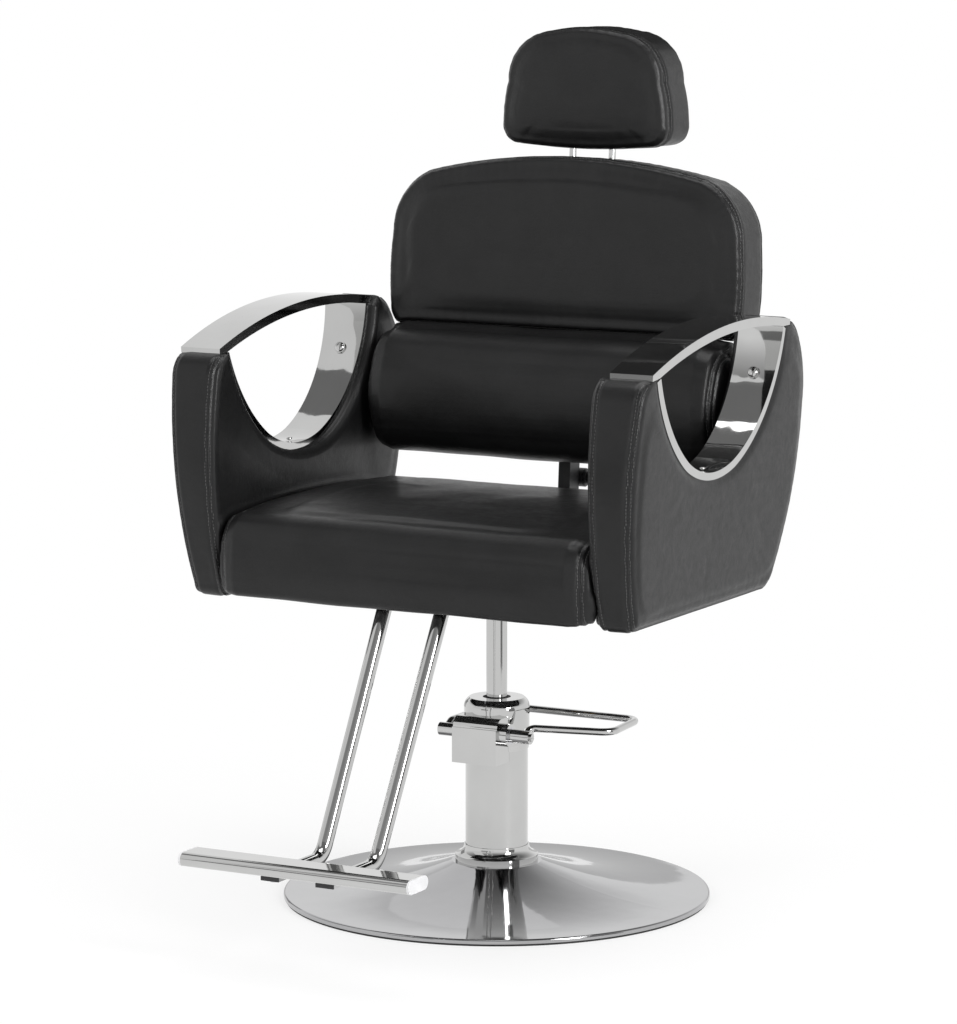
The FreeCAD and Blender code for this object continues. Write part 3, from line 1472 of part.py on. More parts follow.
def armrest_wires(side, lift_in, lift_out, inset):
    """The armrest's side view on both of its faces, drawn in by the wall for its hollow."""
    nose = arm_point((ARM_START_SHARE[0], ARM_START_SHARE[1]))
    nose_top = arm_point((ARM_START_SHARE[0], ARMREST_NOSE_SHARE))
    mid, end = (arm_point(pair) for pair in ARMREST_TOP_SHARES)
    under_mid, under_end = (arm_point(pair) for pair in ARMREST_UNDER_SHARES)
    rear_low = arm_point((ARMREST_REAR_SHARE, OPENING_REAR_SHARE[1]))
    corner = arm_point(OPENING_REAR_SHARE)
    start = tuple(map(float, nose))
    steps = (nose_top, (mid, end), rear_low, corner, (under_mid, under_end), nose)
    if float(inset) > 0:
        wall = S.armrest_wall
        tip = (under_end[0] + wall * 4, under_end[1] + wall * 2)
        tip_top = (tip[0], tip[1] + wall)
        start = tip
        steps = (tip_top, ((mid[0], mid[1] - wall), (end[0] + S.overrun, end[1] - wall)),
                 (rear_low[0] + S.overrun, rear_low[1] + wall), (corner[0], corner[1] + wall),
                 ((under_mid[0], under_mid[1] + wall), tip))
    return [wire_of(start, steps, lift) for lift in (lift_in, lift_out)]


def make_arms(bolts):
    pads = []
    cores = []
    liners = []
    fixings = []
    shanks = [thing for thing in doc.Objects if "_plate_" in thing.Name and "_bolt_shank_" in thing.Name]
    for side, name in ((1, "left"), (-1, "right")):
        pad, core, rings = make_arm(side, name)
        cores.append(core)
        wall = S.armrest_wall
        outer = loft("armrest_solid_" + name,
                     armrest_wires(side, upright(side, S.liner_inner), leaning(side, 0), 0))
        inner = loft("armrest_hollow_" + name,
                     armrest_wires(side, upright(side, S.liner_inner + wall), leaning(side, -wall), wall))
        node("armrest_" + name, cut("armrest_cut_" + name, outer, [inner]))
        liner = join("liner_solid_" + name, rings)
        node("arm_liner_" + name, liner)
        mine = [thing for thing in shanks if ("_plate_" + name) in thing.Name]
        node("arm_pad_" + name, cut("arm_pad_cut_" + name, pad, [core] + mine))
        cores[-1] = cut("arm_core_cut_" + name, core, mine)
        fixings += liner_fixings(side, name)
    node("arm_cores", group("cores", cores))
    node("liner_fixings", group("fixings", fixings))
    node("seat_bolts", group("bolts", bolts))


def on_bow(points, share):
    """The place on the arc through three points that is nearest to a share's place, and the way to its centre."""
    corners = [FreeCAD.Vector(0, *point) for point in points]
    centre = arc_edge(*corners).Curve.Center
    way = (centre - FreeCAD.Vector(0, *place_of(share))).normalize()
    return centre - way * ((centre - corners[0]).Length - float(S.slack_gap)), way


def domed(name, radius, height, foot, way):
    """Half of an ellipsoid standing on a place."""
    dome = doc.addObject("Part::Ellipsoid", name)
    bind(dome, "Radius1", height)
    bind(dome, "Radius2", radius)
    bind(dome, "Radius3", radius)
    dome.Angle1 = 0
    dome.Placement = FreeCAD.Placement(foot, FreeCAD.Rotation(vec(0, 0, 1), way))
    return dome


def liner_fixings(side, name):
    """A dome nut on the liner's rear wall and a small round-headed screw in its bow."""
    rear = place_of(LINER_REAR_SHARE)
    arcs = opening_steps(LINER_SHARES)
    foot, way = on_bow((rear,) + arcs[0], DOME_NUT_SHARE)
    foot.x = side * (float(S.liner_inner) + arm_outside(foot.z)) / 2
    base = doc.addObject("Part::Cylinder", "dome_base_" + name)
    bind(base, "Radius", S.dome_radius)
    bind(base, "Height", S.dome_base)
    base.Placement = FreeCAD.Placement(foot, FreeCAD.Rotation(vec(0, 0, 1), way))
    cap = domed("dome_cap_" + name, S.dome_radius * 0.86, S.dome_height - S.dome_base,
                foot + way * float(S.dome_base), way)
    screw_foot, screw_way = on_bow((arcs[0][1],) + arcs[1], LINER_SCREW_SHARE)
    screw_foot.x = side * (float(S.liner_inner) + arm_outside(screw_foot.z)) / 2
    screw = domed("liner_screw_" + name, S.liner_screw_radius, S.liner_screw_height, screw_foot, screw_way)
    return [join("dome_nut_" + name, [base, cap]), screw]


# Footrest


def make_footrest():
    top_y, low_y = -S.foot_tube_top_front, -S.foot_tube_low_front
    end_y = -S.foot_tube_end_front
    low = S.foot_tube_low_height
    tongue_half = S.foot_tongue_thickness / 2
    bar_low = low + tongue_half
    bar_middle = bar_low + S.foot_bar_height / 2
    bar_y = -S.foot_bar_front + S.foot_bar_depth / 2
    tubes = []
    plugs = []
    sockets = []
    screws = []
    for side, name in ((1, "left"), (-1, "right")):
        points = [
            vec(S.foot_tube_top_spread * side, top_y, S.foot_tube_top_height),
            vec(S.foot_tube_low_spread * side, low_y, low),
            vec(S.foot_tube_low_spread * side, end_y, low),
        ]
        outer = bent_rod("foot_tube_outer_" + name, points, [S.foot_tube_bend], S.foot_tube_radius)
        bore = bent_rod("foot_tube_bore_" + name, points, [S.foot_tube_bend], S.foot_tube_radius - S.foot_tube_wall)
        x = S.foot_tube_low_spread * side
        tongue = box("foot_tongue_" + name, (x - S.foot_tongue_half_width, end_y - S.foot_tongue_length,
                                             low - tongue_half),
                     (x + S.foot_tongue_half_width, end_y, low + tongue_half))
        cap = rod("foot_tube_cap_" + name, S.foot_tube_radius, (x, end_y, low), S.foot_tube_wall, "y")
        hole = rod("foot_screw_hole_" + name, S.foot_screw_radius, (x, bar_y, low - S.foot_tube_radius),
                   S.foot_tube_radius * 2)
        hollow = cut("foot_tube_hollow_" + name, outer, [bore])
        tubes.append(cut("foot_tube_" + name, join("foot_tube_solid_" + name, [hollow, tongue, cap]), [hole]))
        plug = box("foot_plug_" + name, (x - S.foot_tongue_half_width, end_y - S.foot_tongue_length
                                         - S.foot_plug_thickness, low - tongue_half),
                   (x + S.foot_tongue_half_width, end_y - S.foot_tongue_length, low + tongue_half))
        plugs.append(plug)
        way = (points[0] - points[1]).normalize()
        turn = FreeCAD.Rotation(vec(0, 0, 1), way)
        socket_foot = points[0] - way * float(S.socket_length)
        ring = doc.addObject("Part::Cylinder", "socket_ring_" + name)
        bind(ring, "Radius", S.foot_tube_radius + S.socket_wall)
        bind(ring, "Height", S.socket_length - S.overrun)
        ring.Placement = FreeCAD.Placement(socket_foot, turn)
        sockets.append(ring)
        head = rod("foot_screw_head_" + name, S.foot_screw_head_radius,
                   (x, bar_y, low - tongue_half - S.foot_screw_head_height), S.foot_screw_head_height)
        shank = rod("foot_screw_shank_" + name, S.foot_screw_radius, (x, bar_y, low - tongue_half),
                    S.foot_tongue_thickness + S.foot_bar_wall)
        screws.append(join("foot_screw_" + name, [head, shank]))
    node("footrest_tubes", group("foot_tubes", tubes))
    node("footrest_tube_plugs", group("foot_plugs", plugs))

    plate_top = S.mount_plate_height + S.mount_plate_thickness
    plate = box("socket_plate", (-S.socket_plate_half_width, -(S.seat_front - S.seat_front_skirt - S.overrun),
                                 plate_top - S.socket_plate_thickness),
                (S.socket_plate_half_width, -S.front_rail_front + S.rail_size, plate_top))
    node("footrest_bracket", cut("socket_cut", join("socket_solid", [plate] + sockets), [
        group("socket_bores", [doc.getObject("foot_tube_outer_" + name) for name in ("left", "right")])]))

    half = S.foot_bar_height / 2
    front, back = -S.foot_bar_front, -(S.foot_bar_front - S.foot_bar_depth)
    length = S.foot_bar_half_length * 2

    def bar_outline(inset):
        """The bar's section: flat above and below, with half-round edges."""
        z_low, z_high = bar_middle - half + inset, bar_middle + half - inset
        y_low, y_high = front + half, back - half
        return (y_low, z_low), (
            (y_high, z_low),
            ((back - inset, bar_middle), (y_high, z_high)),
            (y_low, z_high),
            ((front + inset, bar_middle), (y_low, z_low)),
        )

    bar_solid = padded("foot_bar_solid", "YZ_Plane", 0, length, *bar_outline(0), both_ways=True)
    bar_hollow = padded("foot_bar_hollow", "YZ_Plane", 0, length + S.overrun, *bar_outline(S.foot_bar_wall),
                        both_ways=True)
    node("footrest_bar", cut("foot_bar", bar_solid, [bar_hollow] + [
        doc.getObject("foot_screw_shank_" + name) for name in ("left", "right")]))
    caps = []
    for side, name in ((1, "left"), (-1, "right")):
        low_x = S.foot_bar_half_length if side > 0 else -(S.foot_bar_half_length + S.foot_cap_thickness)
        caps.append(padded("foot_cap_" + name, "YZ_Plane", low_x, S.foot_cap_thickness, *bar_outline(0)))
    node("footrest_end_caps", group("foot_caps", caps))
    return screws


# Back: drawn upright, then leaned about the recline axis


def lean():
    centre = vec(0, S.recline_axis_back, S.recline_axis_height)
    return FreeCAD.Placement(vec(0, 0, 0), FreeCAD.Rotation(vec(1, 0, 0), -S.lean_angle.value), centre)


def leaned(label, thing):
    holder = group(label + "_leaned", [thing])
    holder.Placement = lean()
    return node(label, holder)


def make_back_bolts():
    """Bolts that hold the back's board and the lumbar board to the upright."""
    y = S.recline_axis_back
    half = S.upright_depth / 2
    upper = []
    step = (S.upright_top_height - S.back_bottom_height) / 4
    for index, height in enumerate((S.back_bottom_height + step, S.upright_top_height - step)):
        head = hexagon("back_bolt_head_%d" % index, S.bolt_head_across,
                       (0, y + half + S.back_board_thickness, height), S.bolt_head_height, "y")
        shank = rod("back_bolt_shank_%d" % index, S.bolt_radius, (0, y + half - S.upright_wall, height),
                    S.back_board_thickness + S.upright_wall, "y")
        upper.append(join("back_bolt_%d" % index, [head, shank]))
    lower = []
    span = S.lumbar_top_height - S.lumbar_bottom_height
    for index, height in enumerate((S.lumbar_bottom_height + span * 0.35, S.lumbar_top_height - span * 0.35)):
        head = hexagon("lumbar_bolt_head_%d" % index, S.bolt_head_across, (0, y + half, height),
                       S.bolt_head_height, "y")
        shank = rod("lumbar_bolt_shank_%d" % index, S.bolt_radius,
                    (0, y - half - S.lumbar_board_thickness, height),
                    S.upright_depth + S.lumbar_board_thickness, "y")
        lower.append(join("lumbar_bolt_%d" % index, [head, shank]))
    leaned("back_bolts", group("back_bolt_group", upper + lower))
    return upper, lower


def make_upright(bolts):
    y, z = S.recline_axis_back, S.recline_axis_height
    half = S.upright_depth / 2
    width = S.upright_half_width * 2
    rest = math.radians(S.crank_angle.value + S.lean_angle.value)
    pin_y = y + S.crank_length * math.sin(rest)
    pin_z = z - S.crank_length * math.cos(rest)
    post = box("upright_post", (-S.upright_half_width, y - half, z), (S.upright_half_width, y + half,
                                                                     S.upright_top_height))
    wall = S.upright_wall
    hollow = box("upright_hollow", (-(S.upright_half_width - wall), y - half + wall, z + half + wall),
                 (S.upright_half_width - wall, y + half - wall, S.upright_top_height + S.overrun))
    knuckle = rod("upright_knuckle", half, (-S.upright_half_width, y, z), width, "x")
    boss = S.crank_boss_radius
    crank_end = rod("crank_end", boss, (-S.upright_half_width, pin_y, pin_z), width, "x")
    across = (math.cos(rest), math.sin(rest))
    crank = padded(
        "crank_web", "YZ_Plane", 0, width,
        (y - half * across[0], z - half * across[1]),
        (
            (pin_y - boss * across[0], pin_z - boss * across[1]),
            (pin_y + boss * across[0], pin_z + boss * across[1]),
            (y + half * across[0], z + half * across[1]),
            (y - half * across[0], z - half * across[1]),
        ),
        both_ways=True,
    )
    inside = S.upright_half_width - S.crank_cheek
    reach = S.strut_eye_radius + S.strut_slack * 3
    fork = padded(
        "crank_fork", "YZ_Plane", 0, inside * 2,
        (pin_y - reach * 2, pin_z - reach * 2),
        (
            (pin_y + reach * 2, pin_z - reach * 2),
            (pin_y + reach * 2, pin_z + reach),
            (pin_y - reach * 2, pin_z + reach),
            (pin_y - reach * 2, pin_z - reach * 2),
        ),
        both_ways=True,
    )
    lever_y, lever_z = S.lever_back, S.lever_height
    boss_half = S.lever_boss_half_width
    lever_outer = S.lever_radius + S.running_gap + S.lever_boss_wall
    lever_boss = rod("lever_boss", lever_outer, (-boss_half, lever_y, lever_z), boss_half * 2, "x")
    tools = [
        hollow,
        fork,
        rod("upright_pin_bore", S.recline_pin_radius + S.running_gap,
            (-(S.upright_half_width + S.overrun), y, z), width + S.overrun * 2, "x"),
        rod("lever_bore", S.lever_radius + S.running_gap, (-(boss_half + S.overrun), lever_y, lever_z),
            (boss_half + S.overrun) * 2, "x"),
    ] + bolts
    pin = rod("crank_pin", S.crank_pin_radius, (-S.upright_half_width, pin_y, pin_z), width, "x")
    solid = join("upright_solid", [post, knuckle, crank_end, crank, lever_boss])
    leaned("back_upright", join("upright_with_pin", [cut("upright_cut", solid, tools), pin]))


def back_outline(inset):
    """The back's front view: straight sides, rounded lower corners and an arched top."""
    side = S.back_half_width - inset
    low = S.back_bottom_height + inset
    top = S.back_top_height - inset
    shoulder_x = S.back_shoulder_half_width - inset * 0.7
    shoulder_z = S.back_shoulder_height - inset * 0.9
    side_z = S.back_side_height
    r = S.back_low_round
    bulge = S.back_crown * 0.4
    knee_x = side - (side - shoulder_x) * 0.23
    knee_z = side_z + (shoulder_z - side_z) * 0.57
    return (-side + r, low), (
        (side - r, low),
        ((side - r * 0.293, low + r * 0.293), (side, low + r)),
        ((side + bulge, (low + r + side_z) / 2), (side, side_z)),
        ((knee_x, knee_z), (shoulder_x, shoulder_z)),
        ((0, top), (-shoulder_x, shoulder_z)),
        ((-knee_x, knee_z), (-side, side_z)),
        ((-side - bulge, (low + r + side_z) / 2), (-side, low + r)),
        ((-side + r * 0.293, low + r * 0.293), (-side + r, low)),
    )


def crowned(name, outline, front, back, radius, rear_radius, crown):
    """A cushion lofted from front to back: rounded edges, and a front face that swells by a crown."""
    wires = []
    for y, inset in both_ends(front, back, radius, rear_radius):
        start, steps = outline(inset)
        wires.append(wire_of(start, steps, lambda x, z, y=y: vec(x, y, z)))
    body = loft(name + "_body", wires)
    start, steps = outline(radius)
    rim = wire_of(start, steps, lambda x, z: vec(x, front, z))
    start, steps = outline(radius * 1.9)
    swell = wire_of(start, steps, lambda x, z: vec(x, front - crown * 0.6, z))
    start, steps = outline(radius * 3.2)
    top = wire_of(start, steps, lambda x, z: vec(x, front - crown, z))
    cap = loft(name + "_swell", [rim, swell, top])
    return join(name, [body, cap])


def make_back(bolts):
    y = S.recline_axis_back
    half = S.upright_depth / 2
    gap = S.pad_gap
    board_low = y + half
    board_high = board_low + S.back_board_thickness
    margin = S.back_board_margin
    low, high = S.back_bottom_height + margin, S.back_shoulder_height - margin
    board = box("back_board_solid", (-(S.back_half_width - margin), board_low, low),
                (S.back_half_width - margin, board_high, high))
    leaned("back_board", cut("back_board_cut", board, bolts))

    cushion = crowned("back_foam", back_outline, S.back_front, S.back_front + S.back_depth, S.back_edge_round,
                      S.back_rear_round, S.back_crown)
    post_slot = box(
        "back_post_slot",
        (-(S.upright_half_width + gap), y - half - gap, S.back_bottom_height - S.overrun),
        (S.upright_half_width + gap, board_low, S.upright_top_height + gap),
    )
    board_slot = box("back_board_slot", (-(S.back_half_width - margin), board_low, low),
                     (S.back_half_width - margin, board_high, high))
    socket_slots = []
    sockets = []
    outer = S.post_radius + S.running_gap * 2 + S.socket_tube_wall
    for side, name in ((1, "left"), (-1, "right")):
        x = S.post_half_spacing * side
        socket_slots.append(rod("socket_slot_" + name, outer, (x, S.post_back, S.socket_foot_height),
                                S.back_top_height - S.socket_foot_height + S.overrun))
        tube = rod("post_socket_outer_" + name, outer, (x, S.post_back, S.socket_foot_height),
                   S.socket_top_height - S.socket_foot_height)
        bore = rod("post_socket_bore_" + name, S.post_radius + S.running_gap * 2,
                   (x, S.post_back, S.socket_foot_height - S.overrun),
                   S.socket_top_height - S.socket_foot_height + S.overrun * 2)
        sockets.append(cut("post_socket_" + name, tube, [bore]))
    leaned("back_cushion", cut("back_cushion_cut", cushion, [post_slot, board_slot] + socket_slots + bolts))
    leaned("headrest_sockets", group("sockets", sockets))


def lumbar_outline(inset):
    """The lumbar roll's side view: flat behind, swelling forwards."""
    back = S.lumbar_front + S.lumbar_depth
    front = S.lumbar_front + inset
    low = S.lumbar_bottom_height + inset
    top = S.lumbar_top_height - inset
    r = S.lumbar_round
    middle = (low + top) / 2
    return (back, low), (
        (back, top),
        (((front + r * 1.3 + back) / 2, top + S.lumbar_crown * 0.2), (front + r * 1.3, top - r * 0.12)),
        ((front + r * 0.42, top - r * 0.5), (front + r * 0.08, top - r * 1.25)),
        ((front - S.lumbar_crown * 0.4, middle), (front + r * 0.12, low + r * 1.1)),
        ((front + r * 0.5, low + r * 0.36), (front + r * 1.2, low)),
        (back, low),
    )


def make_lumbar(bolts):
    wires = []
    for x, inset in both_ends(-S.lumbar_half_width, S.lumbar_half_width, S.lumbar_end_round, S.lumbar_end_round):
        start, steps = lumbar_outline(inset)
        wires.append(wire_of(start, steps, lambda y, z, x=x: vec(x, y, z)))
    leaned("lumbar_cushion", loft("lumbar_foam", wires))
    margin = S.lumbar_board_margin
    board_front = S.lumbar_front + S.lumbar_depth
    board = box("lumbar_board_solid",
                (-(S.lumbar_half_width - margin), board_front, S.lumbar_bottom_height + margin),
                (S.lumbar_half_width - margin, S.recline_axis_back - S.upright_depth / 2,
                 S.lumbar_top_height - margin))
    leaned("lumbar_board", cut("lumbar_board_cut", board, bolts))


def make_lever():
    y, z = S.lever_back, S.lever_height
    left, right = S.lever_left, S.lever_right
    bar = rod("lever_bar", S.lever_radius, (-left, y, z), left + right, "x")
    collar = rod("lever_collar", S.lever_collar_radius, (-left, y, z), S.lever_collar_width, "x")
    inner_collar = rod("lever_inner_collar", S.lever_collar_radius, (S.lever_boss_half_width + S.slack_gap, y, z),
                       S.lever_collar_width, "x")
    drop = math.radians(S.lever_arm_drop_angle.value)
    way = (math.cos(drop), -math.sin(drop))
    across = (math.sin(drop), math.cos(drop))
    half = S.lever_arm_width / 2
    reach = S.lever_arm_length
    arm_x = right - S.lever_arm_thickness
    arm = padded(
        "lever_arm", "YZ_Plane", arm_x, S.lever_arm_thickness,
        (y - half * across[0], z - half * across[1]),
        (
            (y + reach * way[0] - half * across[0], z + reach * way[1] - half * across[1]),
            (y + reach * way[0] + half * across[0], z + reach * way[1] + half * across[1]),
            (y + half * across[0], z + half * across[1]),
            (y - half * across[0], z - half * across[1]),
        ),
    )
    leaned("recline_lever", join("lever_solid", [bar, collar, inner_collar, arm]))
    grip_y, grip_z = y + reach * way[0], z + reach * way[1]
    grip = rod("lever_grip_solid", S.lever_grip_radius, (arm_x - S.lever_grip_length, grip_y, grip_z),
               S.lever_grip_length, "x")
    leaned("lever_grip", grip)


# Headrest


def headrest_outline(inset):
    """The headrest's front view: widest low down, drawn in upwards, with large upper corners."""
    wide = S.headrest_half_width - inset
    side = S.headrest_side_half_width - inset
    shoulder = S.headrest_shoulder_half_width - inset * 0.4
    low = S.headrest_bottom_height + inset
    top = S.headrest_top_height - inset
    wide_z = S.headrest_bottom_height + S.headrest_low_rise + inset * 0.5
    side_z = S.headrest_top_height - S.headrest_side_drop - inset * 0.3
    shoulder_z = top - S.headrest_shoulder_drop
    r = S.headrest_low_round
    low_knee = (wide - r * 0.25, low + (wide_z - low) * 0.36)
    top_knee = (side - (side - shoulder) * 0.34, side_z + (shoulder_z - side_z) * 0.74)
    flank = ((wide + side) / 2 + S.headrest_crown * 0.25, (wide_z + side_z) / 2)
    return (-wide + r, low + S.headrest_crown * 0.6), (
        ((0, low), (wide - r, low + S.headrest_crown * 0.6)),
        (low_knee, (wide, wide_z)),
        (flank, (side, side_z)),
        (top_knee, (shoulder, shoulder_z)),
        ((0, top), (-shoulder, shoulder_z)),
        ((-top_knee[0], top_knee[1]), (-side, side_z)),
        ((-flank[0], flank[1]), (-wide, wide_z)),
        ((-low_knee[0], low_knee[1]), (-wide + r, low + S.headrest_crown * 0.6)),
    )


def make_headrest():
    posts = []
    for side, name in ((1, "left"), (-1, "right")):
        posts.append(rod("post_" + name, S.post_radius,
                         (S.post_half_spacing * side, S.post_back, S.post_foot_height),
                         S.post_top_height - S.post_foot_height))
    plate_y = S.post_back - S.post_radius - S.post_plate_thickness
    plate = box("post_plate", (-S.post_plate_half_width, plate_y, S.post_top_height - S.post_plate_height),
                (S.post_plate_half_width, S.post_back, S.post_top_height))
    frame = leaned("headrest_frame", join("headrest_frame_solid", posts + [plate]))
    foam = crowned("headrest_foam", headrest_outline, S.headrest_front, S.headrest_front + S.headrest_depth,
                   S.headrest_edge_round, S.headrest_edge_round, S.headrest_crown)
    node("headrest_cushion", cut("headrest_cushion_cut", foam, [frame]))


# Assembly

make_base()
make_pump()
make_pump_head()
make_plunger()
make_pedal()
make_piston()
seat_bolts = make_carrier()
make_recline_bracket()
make_strut()
make_seat()
seat_bolts += make_footrest()
make_arms(seat_bolts)
back_bolts, lumbar_bolts = make_back_bolts()
make_upright(back_bolts + lumbar_bolts)
make_back(back_bolts)
make_lumbar(lumbar_bolts)
make_lever()
make_headrest()
doc.recompute()

failed = [thing.Name for thing in doc.Objects if "Invalid" in thing.State or "Error" in thing.State]
for label, thing in NODES.items():
    if thing.Shape.isNull() or not thing.Shape.isValid() or not thing.Shape.Solids:
        failed.append(label)
if failed:
    raise RuntimeError("failed: " + ", ".join(failed))

os.makedirs("parts", exist_ok=True)
for label, thing in NODES.items():
    thing.Shape.exportStep("parts/%s.step" % label)
print(len(NODES), "nodes")
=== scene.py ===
import json
import math

import bmesh
import bpy
import numpy as np
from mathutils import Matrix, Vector
from mathutils.bvhtree import BVHTree
from mathutils.kdtree import KDTree


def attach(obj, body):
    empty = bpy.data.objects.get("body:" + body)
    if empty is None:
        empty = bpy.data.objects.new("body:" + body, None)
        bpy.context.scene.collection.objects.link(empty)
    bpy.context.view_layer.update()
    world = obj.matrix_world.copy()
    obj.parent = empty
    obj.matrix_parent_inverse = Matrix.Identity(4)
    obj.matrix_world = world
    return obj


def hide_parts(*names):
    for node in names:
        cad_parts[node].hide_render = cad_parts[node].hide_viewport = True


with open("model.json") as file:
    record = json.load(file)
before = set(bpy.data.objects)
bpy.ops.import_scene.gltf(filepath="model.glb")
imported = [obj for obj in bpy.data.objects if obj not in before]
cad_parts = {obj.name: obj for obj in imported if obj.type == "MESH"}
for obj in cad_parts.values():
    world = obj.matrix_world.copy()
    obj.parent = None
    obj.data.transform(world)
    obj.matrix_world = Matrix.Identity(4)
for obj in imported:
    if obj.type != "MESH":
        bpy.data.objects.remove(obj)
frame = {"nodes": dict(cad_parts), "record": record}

scene = bpy.context.scene
nodes = frame["nodes"]
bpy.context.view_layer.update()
LEAN = math.radians(4)
PIVOT = Vector((0, 0.206, 0.5))

# Camera and view

SENSOR_WIDTH = 36
LENS = 153.62
FARTHEST = 200
CAMERA_SPOT = (2.7623, -5.1134, 1.3865)
CAMERA_WAY = (-0.4739, 0.8684, -0.1463)
scene.view_settings.view_transform = "Standard"
camera = bpy.data.objects.new("camera", bpy.data.cameras.new("camera"))
scene.collection.objects.link(camera)
camera.data.sensor_width = SENSOR_WIDTH
camera.data.lens = LENS
camera.data.clip_end = FARTHEST
camera.location = CAMERA_SPOT
camera.rotation_mode = "QUATERNION"
camera.rotation_quaternion = Vector(CAMERA_WAY).to_track_quat("-Z", "Y")
scene.camera = camera


# Materials

def tree_of(name):
    made = bpy.data.materials.new(name)
    made.use_nodes = True
    tree = made.node_tree
    return made, tree, tree.nodes["Principled BSDF"]


def add(tree, kind, inputs=None, **props):
    """A new node. An input that is a socket is linked, and any other value is set on it."""
    made = tree.nodes.new(kind)
    for key, value in props.items():
        setattr(made, key, value)
    for key, value in (inputs or {}).items():
        if isinstance(value, bpy.types.NodeSocket):
            tree.links.new(value, made.inputs[key])
        else:
            made.inputs[key].default_value = value
    return made


def link(tree, a, b):
    tree.links.new(a, b)


def ramp(tree, factor, low, high, a, b):
    """Maps factor from low..high to a..b."""
    made = add(tree, "ShaderNodeMapRange",
               {"Value": factor, "From Min": low, "From Max": high, "To Min": a, "To Max": b})
    return made.outputs["Result"]


def result(tree, operation, a, b=None):
    """The result of a math operation on one or two numbers."""
    made = add(tree, "ShaderNodeMath", {0: a} if b is None else {0: a, 1: b}, operation=operation)
    return made.outputs[0]


def tint(tree, factor, a, b):
    """Mixes two plain colours."""
    made = add(tree, "ShaderNodeMix", {"Factor": factor}, data_type="RGBA")
    made.inputs[6].default_value = (*a, 1)
    made.inputs[7].default_value = (*b, 1)
    return made.outputs[2]


def noise(tree, place, scale, detail=4.0, rough=0.55):
    made = add(tree, "ShaderNodeTexNoise",
               {"Vector": place, "Scale": scale, "Detail": detail, "Roughness": rough})
    return made.outputs["Fac"]


def bump(tree, height, distance, strength=1.0, under=None):
    made = add(tree, "ShaderNodeBump",
               {"Height": height, "Distance": distance, "Strength": strength})
    if under is not None:
        link(tree, under, made.inputs["Normal"])
    return made.outputs["Normal"]


def leather(name, dark, light, grain=1.0, gloss=0.24):
    """Grained leather: pebbles, pores and fine folds, glossier where it is pulled at a seam, and lighter
    there from wear and a painted sheen.
    """
    made, tree, skin = tree_of(name)
    place = add(tree, "ShaderNodeTexCoord").outputs["Object"]
    drift = add(tree, "ShaderNodeTexNoise", {"Vector": place, "Scale": 260.0, "Detail": 2.0}).outputs["Color"]
    warped = add(tree, "ShaderNodeMix", {"Factor": 0.0022},
                 data_type="RGBA", blend_type="ADD", clamp_result=False)
    link(tree, place, warped.inputs[6])
    link(tree, drift, warped.inputs[7])
    pebble = add(tree, "ShaderNodeTexVoronoi", {"Vector": warped.outputs[2], "Scale": 760.0 * grain},
                 feature="DISTANCE_TO_EDGE")
    cell = ramp(tree, pebble.outputs["Distance"], 0.0, 0.28, 0.0, 1.0)
    pores = noise(tree, place, 2600.0, 2.0)
    creases = add(tree, "ShaderNodeTexNoise",
                  {"Vector": place, "Scale": 46.0, "Detail": 5.0, "Roughness": 0.6, "Distortion": 0.8})
    fold = result(tree, "ABSOLUTE", result(tree, "SUBTRACT", creases.outputs["Fac"], 0.5))
    fold = ramp(tree, fold, 0.0, 0.05, 0.0, 1.0)
    soft = noise(tree, place, 17.0, 3.0)
    seam_wear_and_sheen = add(tree, "ShaderNodeAttribute", attribute_name="seam_near").outputs["Fac"]
    shade = tint(tree, ramp(tree, soft, 0.3, 0.7, 0.0, 1.0), dark, light)
    # The colour lightens towards a seam: partly wear, partly a painted sheen along the seam.
    rubbed_and_sheen = add(tree, "ShaderNodeMix", {"Factor": ramp(tree, seam_wear_and_sheen, 0.0, 1.0, 0.0, 0.35)}, data_type="RGBA")
    link(tree, shade, rubbed_and_sheen.inputs[6])
    rubbed_and_sheen.inputs[7].default_value = (*[c * 1.9 for c in light], 1)
    link(tree, rubbed_and_sheen.outputs[2], skin.inputs["Base Color"])
    matt = ramp(tree, noise(tree, place, 90.0, 4.0), 0.3, 0.7, 0.33, 0.42)
    matt = result(tree, "ADD", matt, ramp(tree, cell, 0.0, 1.0, 0.1, 0.0))
    matt = result(tree, "ADD", matt, ramp(tree, seam_wear_and_sheen, 0.0, 1.0, 0.0, -0.13))
    link(tree, matt, skin.inputs["Roughness"])
    first = bump(tree, soft, 0.0009, 0.35)
    second = bump(tree, fold, 0.00022, 0.35, first)
    third = bump(tree, cell, 0.00011, 0.6, second)
    link(tree, bump(tree, pores, 0.00004, 0.4, third), skin.inputs["Normal"])
    skin.inputs["Specular IOR Level"].default_value = gloss
    skin.inputs["Coat Weight"].default_value = 0.21
    skin.inputs["Coat Roughness"].default_value = 0.23
    return made


def chrome(name, colour=(0.56, 0.56, 0.555), rough=(0.03, 0.065), wave=0.34):
    """Plated metal with wiped haze, whose reflections waver a little."""
    made, tree, skin = tree_of(name)
    place = add(tree, "ShaderNodeTexCoord").outputs["Object"]
    skin.inputs["Metallic"].default_value = 1.0
    haze = noise(tree, place, 14.0, 3.0)
    dull = [c * 0.94 for c in colour]
    link(tree, tint(tree, ramp(tree, haze, 0.3, 0.7, 0.0, 1.0), dull, colour), skin.inputs["Base Color"])
    wiped = add(tree, "ShaderNodeTexNoise",
                {"Vector": place, "Scale": 320.0, "Detail": 3.0, "Distortion": 0.4}).outputs["Fac"]
    both = result(tree, "MULTIPLY", haze, wiped)
    link(tree, ramp(tree, both, 0.12, 0.4, *rough), skin.inputs["Roughness"])
    link(tree, bump(tree, noise(tree, place, 22.0, 1.0), 0.0006, wave), skin.inputs["Normal"])
    return made


